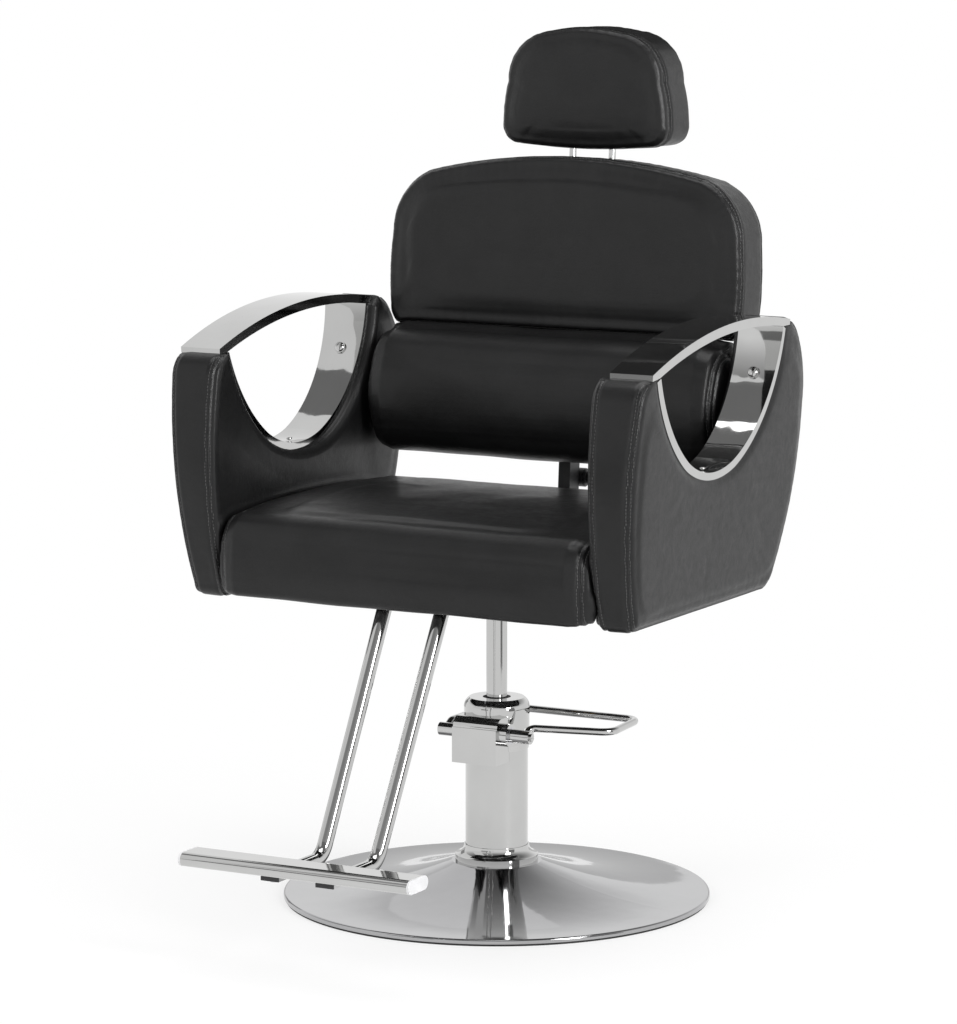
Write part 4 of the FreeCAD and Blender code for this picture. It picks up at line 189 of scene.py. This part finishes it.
def metal(name, a, b, rough, grit=900.0, depth=0.00005, stretch=(1, 1, 1), metallic=1.0):
    """Worked metal, or a moulding where metallic is 0: fine lines or grit along stretch."""
    made, tree, skin = tree_of(name)
    place = add(tree, "ShaderNodeTexCoord").outputs["Object"]
    turned = add(tree, "ShaderNodeMapping", {"Vector": place, "Scale": stretch}).outputs["Vector"]
    lines = noise(tree, turned, grit, 3.0)
    blotch = noise(tree, place, 30.0, 3.0)
    link(tree, tint(tree, ramp(tree, blotch, 0.3, 0.7, 0.0, 1.0), a, b), skin.inputs["Base Color"])
    link(tree, ramp(tree, lines, 0.3, 0.7, *rough), skin.inputs["Roughness"])
    link(tree, bump(tree, lines, depth, 0.5), skin.inputs["Normal"])
    skin.inputs["Metallic"].default_value = metallic
    return made


def plywood(name):
    made, tree, skin = tree_of(name)
    place = add(tree, "ShaderNodeTexCoord").outputs["Object"]
    drawn = add(tree, "ShaderNodeMapping", {"Vector": place, "Scale": (60, 5, 60)}).outputs["Vector"]
    grain = add(tree, "ShaderNodeTexNoise",
                {"Vector": drawn, "Scale": 3.0, "Detail": 6.0, "Distortion": 1.2}).outputs["Fac"]
    plies = add(tree, "ShaderNodeTexWave", {"Vector": place, "Scale": 52.0, "Distortion": 0.6, "Detail": 2.0},
                bands_direction="Z").outputs["Fac"]
    wood = tint(tree, ramp(tree, grain, 0.35, 0.65, 0.0, 1.0), (0.5, 0.34, 0.18), (0.68, 0.5, 0.3))
    layered = add(tree, "ShaderNodeMix", {"Factor": ramp(tree, plies, 0.4, 0.6, 0.0, 0.25)}, data_type="RGBA")
    link(tree, wood, layered.inputs[6])
    layered.inputs[7].default_value = (0.3, 0.19, 0.1, 1)
    link(tree, layered.outputs[2], skin.inputs["Base Color"])
    link(tree, ramp(tree, grain, 0.3, 0.7, 0.55, 0.75), skin.inputs["Roughness"])
    link(tree, bump(tree, grain, 0.0003, 0.5), skin.inputs["Normal"])
    return made


black = leather("black_leather", (0.0046, 0.0046, 0.0048), (0.007, 0.007, 0.0072))
# The thread is grey rather than black: a painted glint on the stitches.
thread = leather("seam_thread", (0.07, 0.07, 0.07), (0.11, 0.11, 0.11), 3.0, 0.5)
# A near-black bead along each seam's middle: painted shade in the gap between the panels.
painted_gap_shade = leather("painted_seam_shade", (0.002, 0.002, 0.002), (0.003, 0.003, 0.003), 2.0, 0.2)
plate = chrome("polished_chrome")
turned_chrome = chrome("tube_chrome", (0.55, 0.55, 0.545), (0.04, 0.08), 0.12)
# The dish's chrome is darker than the rest: a painted reflection of darker surroundings.
dish_chrome = chrome("spun_chrome", (0.44, 0.44, 0.447), (0.04, 0.08), 0.3)
bent_chrome = chrome("bent_chrome", wave=1.0)
stained = metal("black_dust_cover", (0.01, 0.01, 0.01), (0.018, 0.018, 0.018), (0.75, 0.9), 2200.0, 0.0001,
                metallic=0.0)
paints = {
    "black_leather": black,
    "chrome_plate": plate,
    "plywood": plywood("birch_plywood"),
    "bright_steel": metal("ground_steel", (0.5, 0.5, 0.52), (0.62, 0.62, 0.64), (0.22, 0.36), 260.0, 0.00005,
                          (8, 8, 1)),
    "black_steel": metal("satin_black_steel", (0.012, 0.012, 0.013), (0.02, 0.02, 0.021), (0.38, 0.5), 1400.0,
                         0.0001, metallic=0.0),
    "black_rubber": metal("moulded_rubber", (0.012, 0.012, 0.012), (0.02, 0.02, 0.02), (0.7, 0.85), 1800.0,
                          0.0001, metallic=0.0),
    "bronze": metal("machined_bronze", (0.5, 0.34, 0.13), (0.62, 0.45, 0.2), (0.25, 0.38), 320.0, 0.00005,
                    (1, 1, 8)),
    "black_plastic": metal("moulded_black_plastic", (0.014, 0.014, 0.015), (0.022, 0.022, 0.023),
                           (0.42, 0.55), 1100.0, 0.0001, metallic=0.0),
    "light_plastic": metal("moulded_light_plastic", (0.6, 0.6, 0.61), (0.7, 0.7, 0.71), (0.25, 0.36),
                           700.0, 0.00005, metallic=0.0),
}
slots = {row["node"]: row["material_slot"] for row in frame["record"]["subparts"]}
for name, cad in nodes.items():
    cad.data.materials.clear()
    cad.data.materials.append(paints[slots[name]])
special = (
    (turned_chrome, ("pump_tube", "piston_rod", "footrest_tubes", "pedal_loop")),
    (stained, ("seat_board", "lumbar_board")),
    (dish_chrome, ("base_disc",)),
    (bent_chrome, ("arm_liner_left", "arm_liner_right")),
)
for paint, names in special:
    for name in names:
        nodes[name].data.materials[0] = paint


# Tools for the upholstery

SEAM_STEP = 0.0015
# How far neighbours are looked for, and how far short of a gap's middle a skin stays
LOOK, SLIT = 0.03, 0.0004
# The same for soft neighbours, then the gap at which a skin starts to close up to them, the stretch over
# which it does so, and the most that it moves
SOFT_LOOK, SOFT_SLIT, SOFT_START, SOFT_FADE, SOFT_MOST = 0.016, 0.0005, 0.015, 0.005, 0.006


def points_of(mesh):
    held = np.empty(len(mesh.vertices) * 3)
    mesh.vertices.foreach_get("co", held)
    return held.reshape(-1, 3)


def normals_of(mesh):
    held = np.empty(len(mesh.vertices) * 3, np.float32)
    mesh.vertex_normals.foreach_get("vector", held)
    return held.reshape(-1, 3).astype(float)


def set_points(mesh, points):
    mesh.vertices.foreach_set("co", np.asarray(points, np.float32).ravel())
    mesh.update()


def tree_from(names):
    """One search tree over several CAD nodes."""
    corners, faces = [], []
    for name in names:
        mesh = nodes[name].data
        first = len(corners)
        corners += [v.co.copy() for v in mesh.vertices]
        faces += [[first + i for i in p.vertices] for p in mesh.polygons]
    return BVHTree.FromPolygons(corners, faces)


def apply_modifier(piece, modifier):
    view = bpy.context.evaluated_depsgraph_get()
    view.update()
    made = bpy.data.meshes.new_from_object(piece.evaluated_get(view))
    piece.modifiers.remove(modifier)
    old = piece.data
    piece.data = made
    bpy.data.meshes.remove(old)


def skin_of(node, name, voxel, filled=()):
    """A closed, evenly meshed copy of a cushion's skin. Pockets round the filled nodes are closed over."""
    work = bmesh.new()
    work.from_mesh(nodes[node].data)
    bmesh.ops.remove_doubles(work, verts=work.verts[:], dist=2e-6)
    if filled:
        inner = tree_from(filled)
        gone = [f for f in work.faces if inner.find_nearest(f.calc_center_median(), 0.0012)[0] is not None]
        bmesh.ops.delete(work, geom=gone, context="FACES")
        rims = [e for e in work.edges if e.is_boundary]
        bmesh.ops.holes_fill(work, edges=rims, sides=0)
        bmesh.ops.recalc_face_normals(work, faces=work.faces[:])
    mesh = bpy.data.meshes.new(name)
    work.to_mesh(mesh)
    work.free()
    piece = bpy.data.objects.new(name, mesh)
    scene.collection.objects.link(piece)
    modifier = piece.modifiers.new("even", "REMESH")
    modifier.mode = "VOXEL"
    modifier.voxel_size = voxel
    apply_modifier(piece, modifier)
    return piece


def relaxed(mesh, values, rounds):
    """Smooths a value or a row of values per vertex along the mesh's edges."""
    pairs = np.empty(len(mesh.edges) * 2, np.int64)
    mesh.edges.foreach_get("vertices", pairs)
    a, b = pairs.reshape(-1, 2).T
    size = len(values)
    count = np.bincount(a, minlength=size) + np.bincount(b, minlength=size)
    columns = np.array(values, float).reshape(size, -1).T
    for _ in range(rounds):
        for k, column in enumerate(columns):
            total = np.bincount(a, column[b], size) + np.bincount(b, column[a], size)
            columns[k] = 0.5 * column + 0.5 * total / count
    return columns.T.reshape(np.shape(values))


def room_round(piece, others, most):
    """How far each point is from its nearest neighbour, up to a limit."""
    near = tree_from(others)
    room = np.full(len(piece.data.vertices), most)
    for i, v in enumerate(piece.data.vertices):
        found = near.find_nearest(v.co, most)
        if found[0] is not None:
            room[i] = found[3]
    return room


def unit(rows):
    return rows / np.maximum(np.linalg.norm(rows, axis=1), 1e-9)[:, None]


def swell(piece, room, shrink, cap, steps=20, crease=0.0003):
    """Draws the skin in a little, blows it up as cloth, and puts it back.
    Gives how far each point ended outside its place, with the sharpest creases held back."""
    mesh = piece.data
    rest, out = points_of(mesh), unit(relaxed(mesh, normals_of(mesh), 2))
    share = np.clip(room / 0.010, 0, 1)
    share = np.minimum(share, relaxed(mesh, share, 6))
    set_points(mesh, rest - out * (share * shrink)[:, None])
    held = piece.vertex_groups.new(name="held")
    fixed = [int(i) for i in np.nonzero(room < 0.0035)[0]]
    if fixed:
        held.add(fixed, 1.0, "REPLACE")
    cloth = piece.modifiers.new("cloth", "CLOTH")
    cloth.settings.quality = 4
    cloth.settings.mass = 0.3
    cloth.settings.tension_stiffness = 15
    cloth.settings.compression_stiffness = 15
    cloth.settings.shear_stiffness = 8
    cloth.settings.bending_stiffness = 2
    cloth.settings.use_pressure = True
    cloth.settings.uniform_pressure_force = 4.0
    cloth.settings.effector_weights.gravity = 0
    if fixed:
        cloth.settings.vertex_group_mass = "held"
    cloth.point_cache.frame_start = 1
    cloth.point_cache.frame_end = steps
    for step in range(steps):
        scene.frame_set(step + 1)
    view = bpy.context.evaluated_depsgraph_get()
    blown = points_of(piece.evaluated_get(view).data)
    piece.modifiers.remove(cloth)
    piece.vertex_groups.clear()
    scene.frame_set(1)
    set_points(mesh, rest)
    height = relaxed(mesh, ((blown - rest) * out).sum(1), 2)
    broad = relaxed(mesh, height, 90)
    creases = np.clip((height - broad) * 0.2, -crease, crease)
    return np.clip(broad, -0.0004, cap) + creases * share


def ripple(points, seed, size, count=14):
    """Soft random unevenness, mostly from -1 to 1, in waves about size long."""
    chance = np.random.default_rng(seed)
    total = np.zeros(len(points))
    for _ in range(count):
        way = chance.normal(size=3)
        way *= 2 * math.pi / (size * chance.uniform(0.7, 1.6)) / np.linalg.norm(way)
        total += np.sin(points @ way + chance.uniform(0, 2 * math.pi))
    return total / math.sqrt(count) / 1.5


def loops_at(mesh, normal, offset):
    """The loops where a mesh crosses a plane, as arrays of points, the longest first."""
    work = bmesh.new()
    work.from_mesh(mesh)
    normal = Vector(normal).normalized()
    everything = work.verts[:] + work.edges[:] + work.faces[:]
    cut = bmesh.ops.bisect_plane(work, geom=everything, dist=1e-7, plane_co=normal * offset, plane_no=normal)
    edges = [e for e in cut["geom_cut"] if isinstance(e, bmesh.types.BMEdge)]
    left = set(edges)
    found = []
    for edge in edges:
        if edge not in left:
            continue
        left.discard(edge)
        chain = [edge.verts[0], edge.verts[1]]
        while True:
            onward = [e for e in chain[-1].link_edges if e in left]
            if not onward:
                break
            left.discard(onward[0])
            chain.append(onward[0].other_vert(chain[-1]))
        found.append(np.array([v.co[:] for v in chain]))
    work.free()
    return sorted(found, key=lambda p: -np.linalg.norm(np.diff(p, axis=0), axis=1).sum())


def even(points, step, closed, smooth=3):
    """Points at even steps along a line, with its small jags smoothed away."""
    if closed:
        points = np.vstack([points, points[:1]])
    along = np.concatenate([[0], np.cumsum(np.linalg.norm(np.diff(points, axis=0), axis=1))])
    count = max(4, int(along[-1] / step))
    at = np.linspace(0, along[-1], count, endpoint=not closed)
    made = np.stack([np.interp(at, along, points[:, k]) for k in range(3)], 1)
    for _ in range(smooth):
        before, after = np.roll(made, 1, 0), np.roll(made, -1, 0)
        if not closed:
            before[0], after[-1] = made[0], made[-1]
        made = 0.5 * made + 0.25 * (before + after)
    return made


def runs_of(points, keep, closed, least=12):
    """The unbroken runs of at least so many kept points. A loop kept whole comes back closed."""
    if keep.all():
        return [(points, closed)]
    if closed:
        first = int(np.argmin(keep))
        points, keep = np.roll(points, -first, 0), np.roll(keep, -first)
    made, run = [], []
    for p, k in zip(points, keep):
        if k:
            run.append(p)
        elif run:
            made.append(np.array(run))
            run = []
    if run:
        made.append(np.array(run))
    return [(r, False) for r in made if len(r) >= least]


def heading(points, closed):
    """The direction of a line at each of its points."""
    ahead = np.roll(points, -1, 0) - np.roll(points, 1, 0)
    if not closed:
        ahead[0], ahead[-1] = points[1] - points[0], points[-1] - points[-2]
    return ahead / np.linalg.norm(ahead, axis=1)[:, None]


def rod_along(points, closed, normals, radius, sides=6):
    """A thin round bead along a line on a skin."""
    ahead = heading(points, closed)
    out = normals - (normals * ahead).sum(1)[:, None] * ahead
    out /= np.linalg.norm(out, axis=1)[:, None]
    side = np.cross(ahead, out)
    turn = np.arange(sides) * 2 * math.pi / sides
    round_out = np.cos(turn)[None, :, None] * out[:, None]
    round_side = np.sin(turn)[None, :, None] * side[:, None]
    rings = points[:, None] + radius * (round_out + round_side)
    n = len(points)
    faces = []
    for i in range(n if closed else n - 1):
        here, onward = i * sides, (i + 1) % n * sides
        for k in range(sides):
            other = (k + 1) % sides
            faces.append((here + k, here + other, onward + other, onward + k))
    if not closed:
        faces += [tuple(range(sides))[::-1], tuple(range((n - 1) * sides, n * sides))]
    return rings.reshape(-1, 3), faces


def stitches_along(points, closed, normals, tree, apart, pitch=0.0046, long=0.0034, thick=0.00042, sides=5):
    """Two rows of small thread stitches beside a seam line, as points and faces."""
    corners, faces = [], []
    turn = np.arange(sides) * 2 * math.pi / sides
    # A stitch's four rings: place as a share of its length, width and rise as shares of its thickness
    rings = ((-0.5, 0.35, -0.35), (-0.3, 0.9, 0.25), (0.3, 0.9, 0.25), (0.5, 0.35, -0.35))
    spaced = even(points, pitch, closed, 1)
    index = np.linspace(0, len(points) - 1, len(spaced)).astype(int)
    ahead = heading(spaced, closed)
    for way in (-1, 1):
        for i in range(len(spaced)):
            out = normals[index[i]]
            side = np.cross(out, ahead[i])
            side /= np.linalg.norm(side)
            spot = tree.find_nearest(Vector(spaced[i] + side * way * apart))
            if spot[0] is None:
                continue
            at, up = np.array(spot[0]), np.array(spot[1])
            along = ahead[i] - up * (ahead[i] @ up)
            along /= np.linalg.norm(along)
            across = np.cross(up, along)
            base = len(corners)
            for share, wide, rise in rings:
                middle = at + along * share * long + up * thick * rise
                for a in turn:
                    corners.append(middle + thick * wide * (math.cos(a) * up + math.sin(a) * across))
            last = base + (len(rings) - 1) * sides
            for here in range(base, last, sides):
                for k in range(sides):
                    n = (k + 1) % sides
                    faces.append((here + k, here + n, here + sides + n, here + sides + k))
            faces.append(tuple(base + k for k in range(sides))[::-1])
            faces.append(tuple(last + k for k in range(sides)))
    return corners, faces


def mesh_piece(name, corners, faces, material):
    mesh = bpy.data.meshes.new(name)
    mesh.from_pydata([tuple(map(float, c)) for c in corners], [], faces)
    mesh.update()
    mesh.materials.append(material)
    for polygon in mesh.polygons:
        polygon.use_smooth = True
    piece = bpy.data.objects.new(name, mesh)
    scene.collection.objects.link(piece)
    return piece


def divide(piece):
    modifier = piece.modifiers.new("fine", "SUBSURF")
    modifier.levels = 1
    modifier.render_levels = 1
    apply_modifier(piece, modifier)


def kept_clear(points, others, gap):
    """Which points are farther than the gap from the other nodes."""
    near = tree_from(others)
    return np.array([near.find_nearest(Vector(p), gap)[0] is None for p in points])


def keep(mesh, name, values):
    """Stores a value per vertex in the mesh."""
    held = mesh.attributes.new(name, "FLOAT", "POINT")
    held.data.foreach_set("value", np.asarray(values, np.float32))


def kept(mesh, name):
    """Takes stored values out of the mesh again."""
    held = np.empty(len(mesh.vertices), np.float32)
    mesh.attributes[name].data.foreach_get("value", held)
    mesh.attributes.remove(mesh.attributes[name])
    return held.astype(float)


def upholster(piece, body, node, lines, room, seed, sag=0.0008, pucker=0.0002, apart=0.0044, groove=0.0014,
              fill=0.8):
    """Draws a skin's seams in with small puckers, adds threads, and puts the piece on its body.
    lines are (points, closed) along the seams, and room is how far each point is from a neighbour.
    Each seam is a low ridge between two grooves, in which the rows of stitches lie."""
    mesh = piece.data
    place, out = points_of(mesh), normals_of(mesh)
    deep, wave, near = np.zeros((3, len(place)))
    thin, pulled, fold = 0.0022, 0.006, 0.016
    if lines:
        spots = np.vstack([points for points, _ in lines])
        along = np.concatenate([np.arange(len(points)) * SEAM_STEP for points, _ in lines])
        tree = KDTree(len(spots))
        for i, p in enumerate(spots):
            tree.insert(p, i)
        tree.balance()
        for i in range(len(place)):
            _, k, gap = tree.find(place[i])
            if gap < 0.05:
                deep[i] = math.exp(-((gap - apart) / thin) ** 2) - 0.35 * math.exp(-(gap / thin) ** 2)
                fading = math.exp(-gap / fold) * (1 - math.exp(-(gap / 0.005) ** 2))
                wave[i] = fading * (math.sin(along[k] * 430) + 0.6 * math.sin(along[k] * 263 + 1.3))
                near[i] = math.exp(-(gap / pulled) ** 2)
    uneven = ripple(place, seed, 0.16) * sag + ripple(place, seed + 1, 0.06) * sag * 0.35
    free = np.clip(room / 0.004, 0, 1)
    place = place + out * (uneven * free - deep * groove + wave * pucker * free)[:, None]
    set_points(mesh, place)
    # seam_near lightens the leather's colour beside the seams: wear and a painted sheen.
    keep(mesh, "seam_near", near)
    mesh.materials.clear()
    mesh.materials.append(black)
    for polygon in mesh.polygons:
        polygon.use_smooth = True
    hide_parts(node)
    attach(piece, body)
    if not lines:
        return
    view = BVHTree.FromObject(piece, bpy.context.evaluated_depsgraph_get())
    seam_points, seam_faces, thread_points, thread_faces = [], [], [], []
    for points, closed in lines:
        on_skin = np.array([view.find_nearest(Vector(p))[0][:] for p in points])
        points = even(on_skin, SEAM_STEP, closed, 2)
        outward = np.array([view.find_nearest(Vector(p))[1][:] for p in points])
        for _ in range(6):
            outward = unit(outward + np.roll(outward, 1, 0) + np.roll(outward, -1, 0))
        # The dark bead down the seam's middle is painted shade in the seam's gap.
        made, faces = rod_along(points, closed, outward, 0.0004)
        first = len(seam_points)
        seam_points += list(made)
        seam_faces += [tuple(first + i for i in f) for f in faces]
        made, faces = stitches_along(points, closed, outward, view, apart)
        first = len(thread_points)
        thread_points += list(made)
        thread_faces += [tuple(first + i for i in f) for f in faces]
    trims = (("seam", seam_points, seam_faces, painted_gap_shade), ("stitching", thread_points, thread_faces, thread))
    for kind, made, faces, paint in trims:
        trim = mesh_piece(piece.name + "_" + kind, made, faces, paint)
        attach(trim, body)


def domed(mesh, ahead, rounds=300):
    """Evens out how a front face bends, so that it swells as one gentle dome.
    Gives how free each point was to move, from 0 to 1."""
    place = points_of(mesh)
    free = relaxed(mesh, np.clip((normals_of(mesh) @ ahead - 0.95) / 0.03, 0, 1), 2)
    first = place @ ahead
    depth = first.copy()
    for _ in range(rounds):
        bend = depth - relaxed(mesh, depth, 1)
        depth -= free * (bend - relaxed(mesh, bend, 1))
    set_points(mesh, place + np.outer(depth - first, ahead))
    return free


def above(mesh, shell, out, reach):
    """How far each point of a skin lies outside the CAD solid's own skin."""
    place = points_of(mesh)
    found = [shell.find_nearest(Vector(p), reach)[0] for p in place]
    spots = np.array([p if f is None else f[:] for p, f in zip(place, found)])
    return ((place - spots) * out).sum(1)


def dress(name, body, node, voxel, others, planes, seed, soft=(), ahead=None, shrink=0.004, cap=0.003,
          crisp=0.007, proud=0.0, filled=(), rim=(), least=12, **looks):
    """Makes a cushion's leather: a swollen skin set on the CAD solid, with its seams where the planes cut it.
    others are rigid neighbours, and soft ones are cushions that the skin closes up to. ahead is the way that
    a front faces, crisp how far its edge is filled out, and proud how far the whole skin stands out.
    Pockets round the filled nodes are closed, and seams stop short of the rim nodes."""
    piece = skin_of(node, name, voxel, filled)
    shell = tree_from((node,))
    room = room_round(piece, others + soft, LOOK)
    height = swell(piece, room, shrink, cap) + proud
    free = np.zeros(len(room))
    if ahead is not None:
        facing = np.clip(normals_of(piece.data) @ np.array(ahead), 0, 1)
        height = height + crisp * (facing + np.sqrt(1 - facing ** 2) - 1)
        free = domed(piece.data, np.array(ahead))
    height = np.minimum(height, np.clip(room * 0.5 - SLIT, 0, None))
    if soft:
        gap = room_round(piece, soft, SOFT_LOOK)
        close = np.clip(gap * 0.5 - SOFT_SLIT, None, SOFT_MOST)
        drawn = np.clip((SOFT_START - gap) / SOFT_FADE, 0, 1)
        height = relaxed(piece.data, height + drawn * (np.maximum(height, close) - height), 2)
    out = unit(relaxed(piece.data, normals_of(piece.data), 2))
    set_points(piece.data, points_of(piece.data) + out * (height * free)[:, None])
    for kind, values in (("height", height), ("room", room), ("free", free)):
        keep(piece.data, kind, values)
    divide(piece)
    height, room, free = (kept(piece.data, kind) for kind in ("height", "room", "free"))
    out = unit(relaxed(piece.data, normals_of(piece.data), 3))
    for rounds in (3, 1):
        now = above(piece.data, shell, out, 0.008)
        move = relaxed(piece.data, out * ((height - now) * (1 - free))[:, None], rounds)
        set_points(piece.data, points_of(piece.data) + move)
    lines = []
    for normal, offset in planes:
        points = even(loops_at(piece.data, normal, offset)[0], SEAM_STEP, True, 8)
        clear = kept_clear(points, rim, 0.012) if rim else np.ones(len(points), bool)
        lines += runs_of(points, clear, True, least)
    upholster(piece, body, node, lines, room, seed, **looks)


# Seat, lumbar roll, back and headrest

leaning_y = Vector((0, math.cos(LEAN), -math.sin(LEAN)))


def leaned(y):
    """A seam plane of the back that lies at y before the back leans."""
    return leaning_y, PIVOT.dot(leaning_y) + (y - PIVOT.y)


def both_sides(x):
    """Two upright seam planes at x and -x."""
    return [((1, 0, 0), x), ((-1, 0, 0), x)]


arm_nodes = ("arm_pad_left", "arm_pad_right")
dress("seat_leather", "seat", "seat_cushion", 0.005,
      ("seat_board", "frame_front", "frame_rear", "lumbar_cushion", "recline_bracket", "frame_rails"),
      both_sides(0.2655), 11, soft=arm_nodes, proud=0.002)
dress("lumbar_leather", "back", "lumbar_cushion", 0.005,
      arm_nodes + ("lumbar_board", "seat_cushion", "back_upright"),
      both_sides(0.262), 23, soft=("back_cushion",))
dress("back_leather", "back", "back_cushion", 0.005,
      arm_nodes + ("back_board", "back_upright", "headrest_sockets", "headrest_cushion"),
      [leaned(0.168), leaned(0.236)], 37,
      soft=("lumbar_cushion",), ahead=-leaning_y, sag=0.0004, pucker=0.0003)
dress("headrest_leather", "headrest", "headrest_cushion", 0.004,
      ("headrest_frame", "back_cushion"),
      [((0, 1, 0), 0.264), ((0, 1, 0), 0.3305)], 41, ahead=(0, -1, 0), crisp=0.004, sag=0.0003, pucker=0.0003)


# Arms

# The outer seam's plane flares with the arm, and the inner one is upright
flare, arm_height, foot_height = 0.025, 0.372, 0.426
outer_seam, inner_seam = 0.324, 0.2832
slope = flare / arm_height
for side, name in ((1, "left"), (-1, "right")):
    outer = Vector((side, 0, -slope))
    rim = ("arm_liner_" + name, "armrest_" + name)
    dress("arm_leather_" + name, "seat", "arm_pad_" + name, 0.004,
          rim + ("lumbar_cushion", "back_cushion", "frame_front", "frame_rear"),
          [(outer, (outer_seam - slope * foot_height) / outer.length), ((side, 0, 0), inner_seam)], 50 + side,
          soft=("seat_cushion",), shrink=0.003, cap=0.0018, proud=0.0025, filled=("arm_cores", "seat_bolts"),
          rim=rim, least=40, sag=0.0003, pucker=0.0001, apart=0.004)


# Floor and light

def seen_mix(tree, plain, seen):
    """plain for light that falls on things, seen for what the camera, gloss and glass look at."""
    path = add(tree, "ShaderNodeLightPath")
    looking = result(tree, "MAXIMUM", path.outputs["Is Camera Ray"], path.outputs["Is Glossy Ray"])
    looking = result(tree, "MAXIMUM", looking, path.outputs["Is Transmission Ray"])
    mixed = add(tree, "ShaderNodeMixShader", {0: looking})
    link(tree, plain, mixed.inputs[1])
    link(tree, seen, mixed.inputs[2])
    return mixed.outputs[0]


world = bpy.data.worlds.new("studio")
scene.world = world
world.use_nodes = True
wtree = world.node_tree
plain = add(wtree, "ShaderNodeBackground", {"Color": (1, 1, 1, 1), "Strength": 0.55})
seen = add(wtree, "ShaderNodeBackground", {"Color": (1, 1, 1, 1), "Strength": 1.0})
looked = add(wtree, "ShaderNodeTexCoord").outputs["Generated"]
upward = add(wtree, "ShaderNodeSeparateXYZ", {0: looked}).outputs["Z"]
ceiling = ramp(wtree, upward, 0.28, 0.75, 1.0, 0.22)
mirrored = add(wtree, "ShaderNodeBackground", {"Color": (1, 1, 1, 1), "Strength": ceiling})
backdrop = add(wtree, "ShaderNodeMixShader", {0: add(wtree, "ShaderNodeLightPath").outputs["Is Glossy Ray"]})
link(wtree, seen.outputs[0], backdrop.inputs[1])
link(wtree, mirrored.outputs[0], backdrop.inputs[2])
studio = seen_mix(wtree, plain.outputs[0], backdrop.outputs[0])
link(wtree, studio, wtree.nodes["World Output"].inputs["Surface"])

floor_mesh = bpy.data.meshes.new("floor")
wide = 60.0
floor_corners = [(-wide, -wide, 0), (wide, -wide, 0), (wide, wide, 0), (-wide, wide, 0)]
floor_mesh.from_pydata(floor_corners, [], [(0, 1, 2, 3)])
floor = bpy.data.objects.new("floor", floor_mesh)
scene.collection.objects.link(floor)
floor_paint, ftree, fskin = tree_of("pale_floor")
fskin.inputs["Base Color"].default_value = (0.9, 0.9, 0.9, 1)
fskin.inputs["Roughness"].default_value = 0.6
fskin.inputs["Specular IOR Level"].default_value = 0.2
glow = add(ftree, "ShaderNodeEmission", {"Color": (1, 1, 1, 1), "Strength": 1.0})
spot = add(ftree, "ShaderNodeTexCoord").outputs["Object"]
far = add(ftree, "ShaderNodeVectorMath", {0: spot}, operation="LENGTH").outputs["Value"]
fade = ramp(ftree, far, 0.3, 1.1, 0.68, 1.0)
pale = add(ftree, "ShaderNodeMixShader", {0: fade})
link(ftree, fskin.outputs[0], pale.inputs[1])
link(ftree, glow.outputs[0], pale.inputs[2])
ground = seen_mix(ftree, fskin.outputs[0], pale.outputs[0])
link(ftree, ground, ftree.nodes["Material Output"].inputs["Surface"])
floor_mesh.materials.append(floor_paint)


def lamp(name, at, to, size, power, mirrored=True):
    """A soft box. Where it isn't mirrored, it lights things but shows in no gloss."""
    made = bpy.data.objects.new(name, bpy.data.lights.new(name, "AREA"))
    made.data.shape = "RECTANGLE"
    made.data.size, made.data.size_y = size
    made.data.energy = power
    made.location = at
    made.rotation_mode = "QUATERNION"
    made.rotation_quaternion = (Vector(to) - Vector(at)).to_track_quat("-Z", "Y")
    made.visible_glossy = mirrored
    scene.collection.objects.link(made)


def flag(name, way, away, wide, tall, shade, low=0.0):
    """An upright card that only mirrors see, away from the middle at way degrees from +X."""
    turn = math.radians(way)
    centre = Vector((math.cos(turn), math.sin(turn), 0)) * away
    side = Vector((-math.sin(turn), math.cos(turn), 0)) * wide / 2
    under, over = Vector((0, 0, low)), Vector((0, 0, tall))
    corners = [centre - side + under, centre + side + under, centre + side + over, centre - side + over]
    mesh = bpy.data.meshes.new(name)
    mesh.from_pydata(corners, [], [(0, 1, 2, 3)])
    paint, tree, skin = tree_of(name)
    glow = add(tree, "ShaderNodeEmission", {"Color": (1, 1, 1, 1), "Strength": shade})
    link(tree, glow.outputs[0], tree.nodes["Material Output"].inputs["Surface"])
    mesh.materials.append(paint)
    made = bpy.data.objects.new(name, mesh)
    scene.collection.objects.link(made)
    made.visible_camera = made.visible_diffuse = False
    made.visible_shadow = made.visible_transmission = False


flag("right_flag", -8, 1.7, 0.7, 0.9, 0.25)
flag("left_flag", -105, 1.8, 0.8, 0.6, 0.3, 0.3)
flag("rear_flag", 150, 2.2, 0.7, 1.4, 0.35)
flag("low_flag", 119, 1.4, 2.2, 0.3, 0.68)
flag("back_flag", 100, 0.46, 0.4, 1.7, 0.03, 1.02)
flag("rear_card", 141, 1.42, 1.5, 2.3, 0.95, 0.7)
flag("front_card", -135, 1.34, 0.9, 2.4, 0.9, 0.45)
lamp("side_softbox", (3.3, -1.1, 1.9), (0, 0, 0.7), (1.0, 2.6), 100)
lamp("front_softbox", (-2.2, -3.6, 2.4), (0, 0, 0.6), (1.8, 2.4), 70, False)
lamp("top_softbox", (0.2, 0.4, 3.6), (0, 0, 0.5), (2.2, 2.2), 45)
lamp("left_bank", (-2.75, 2.2, 3.2), (-2.75, 2.2, 0), (2.6, 3.5), 30, False)
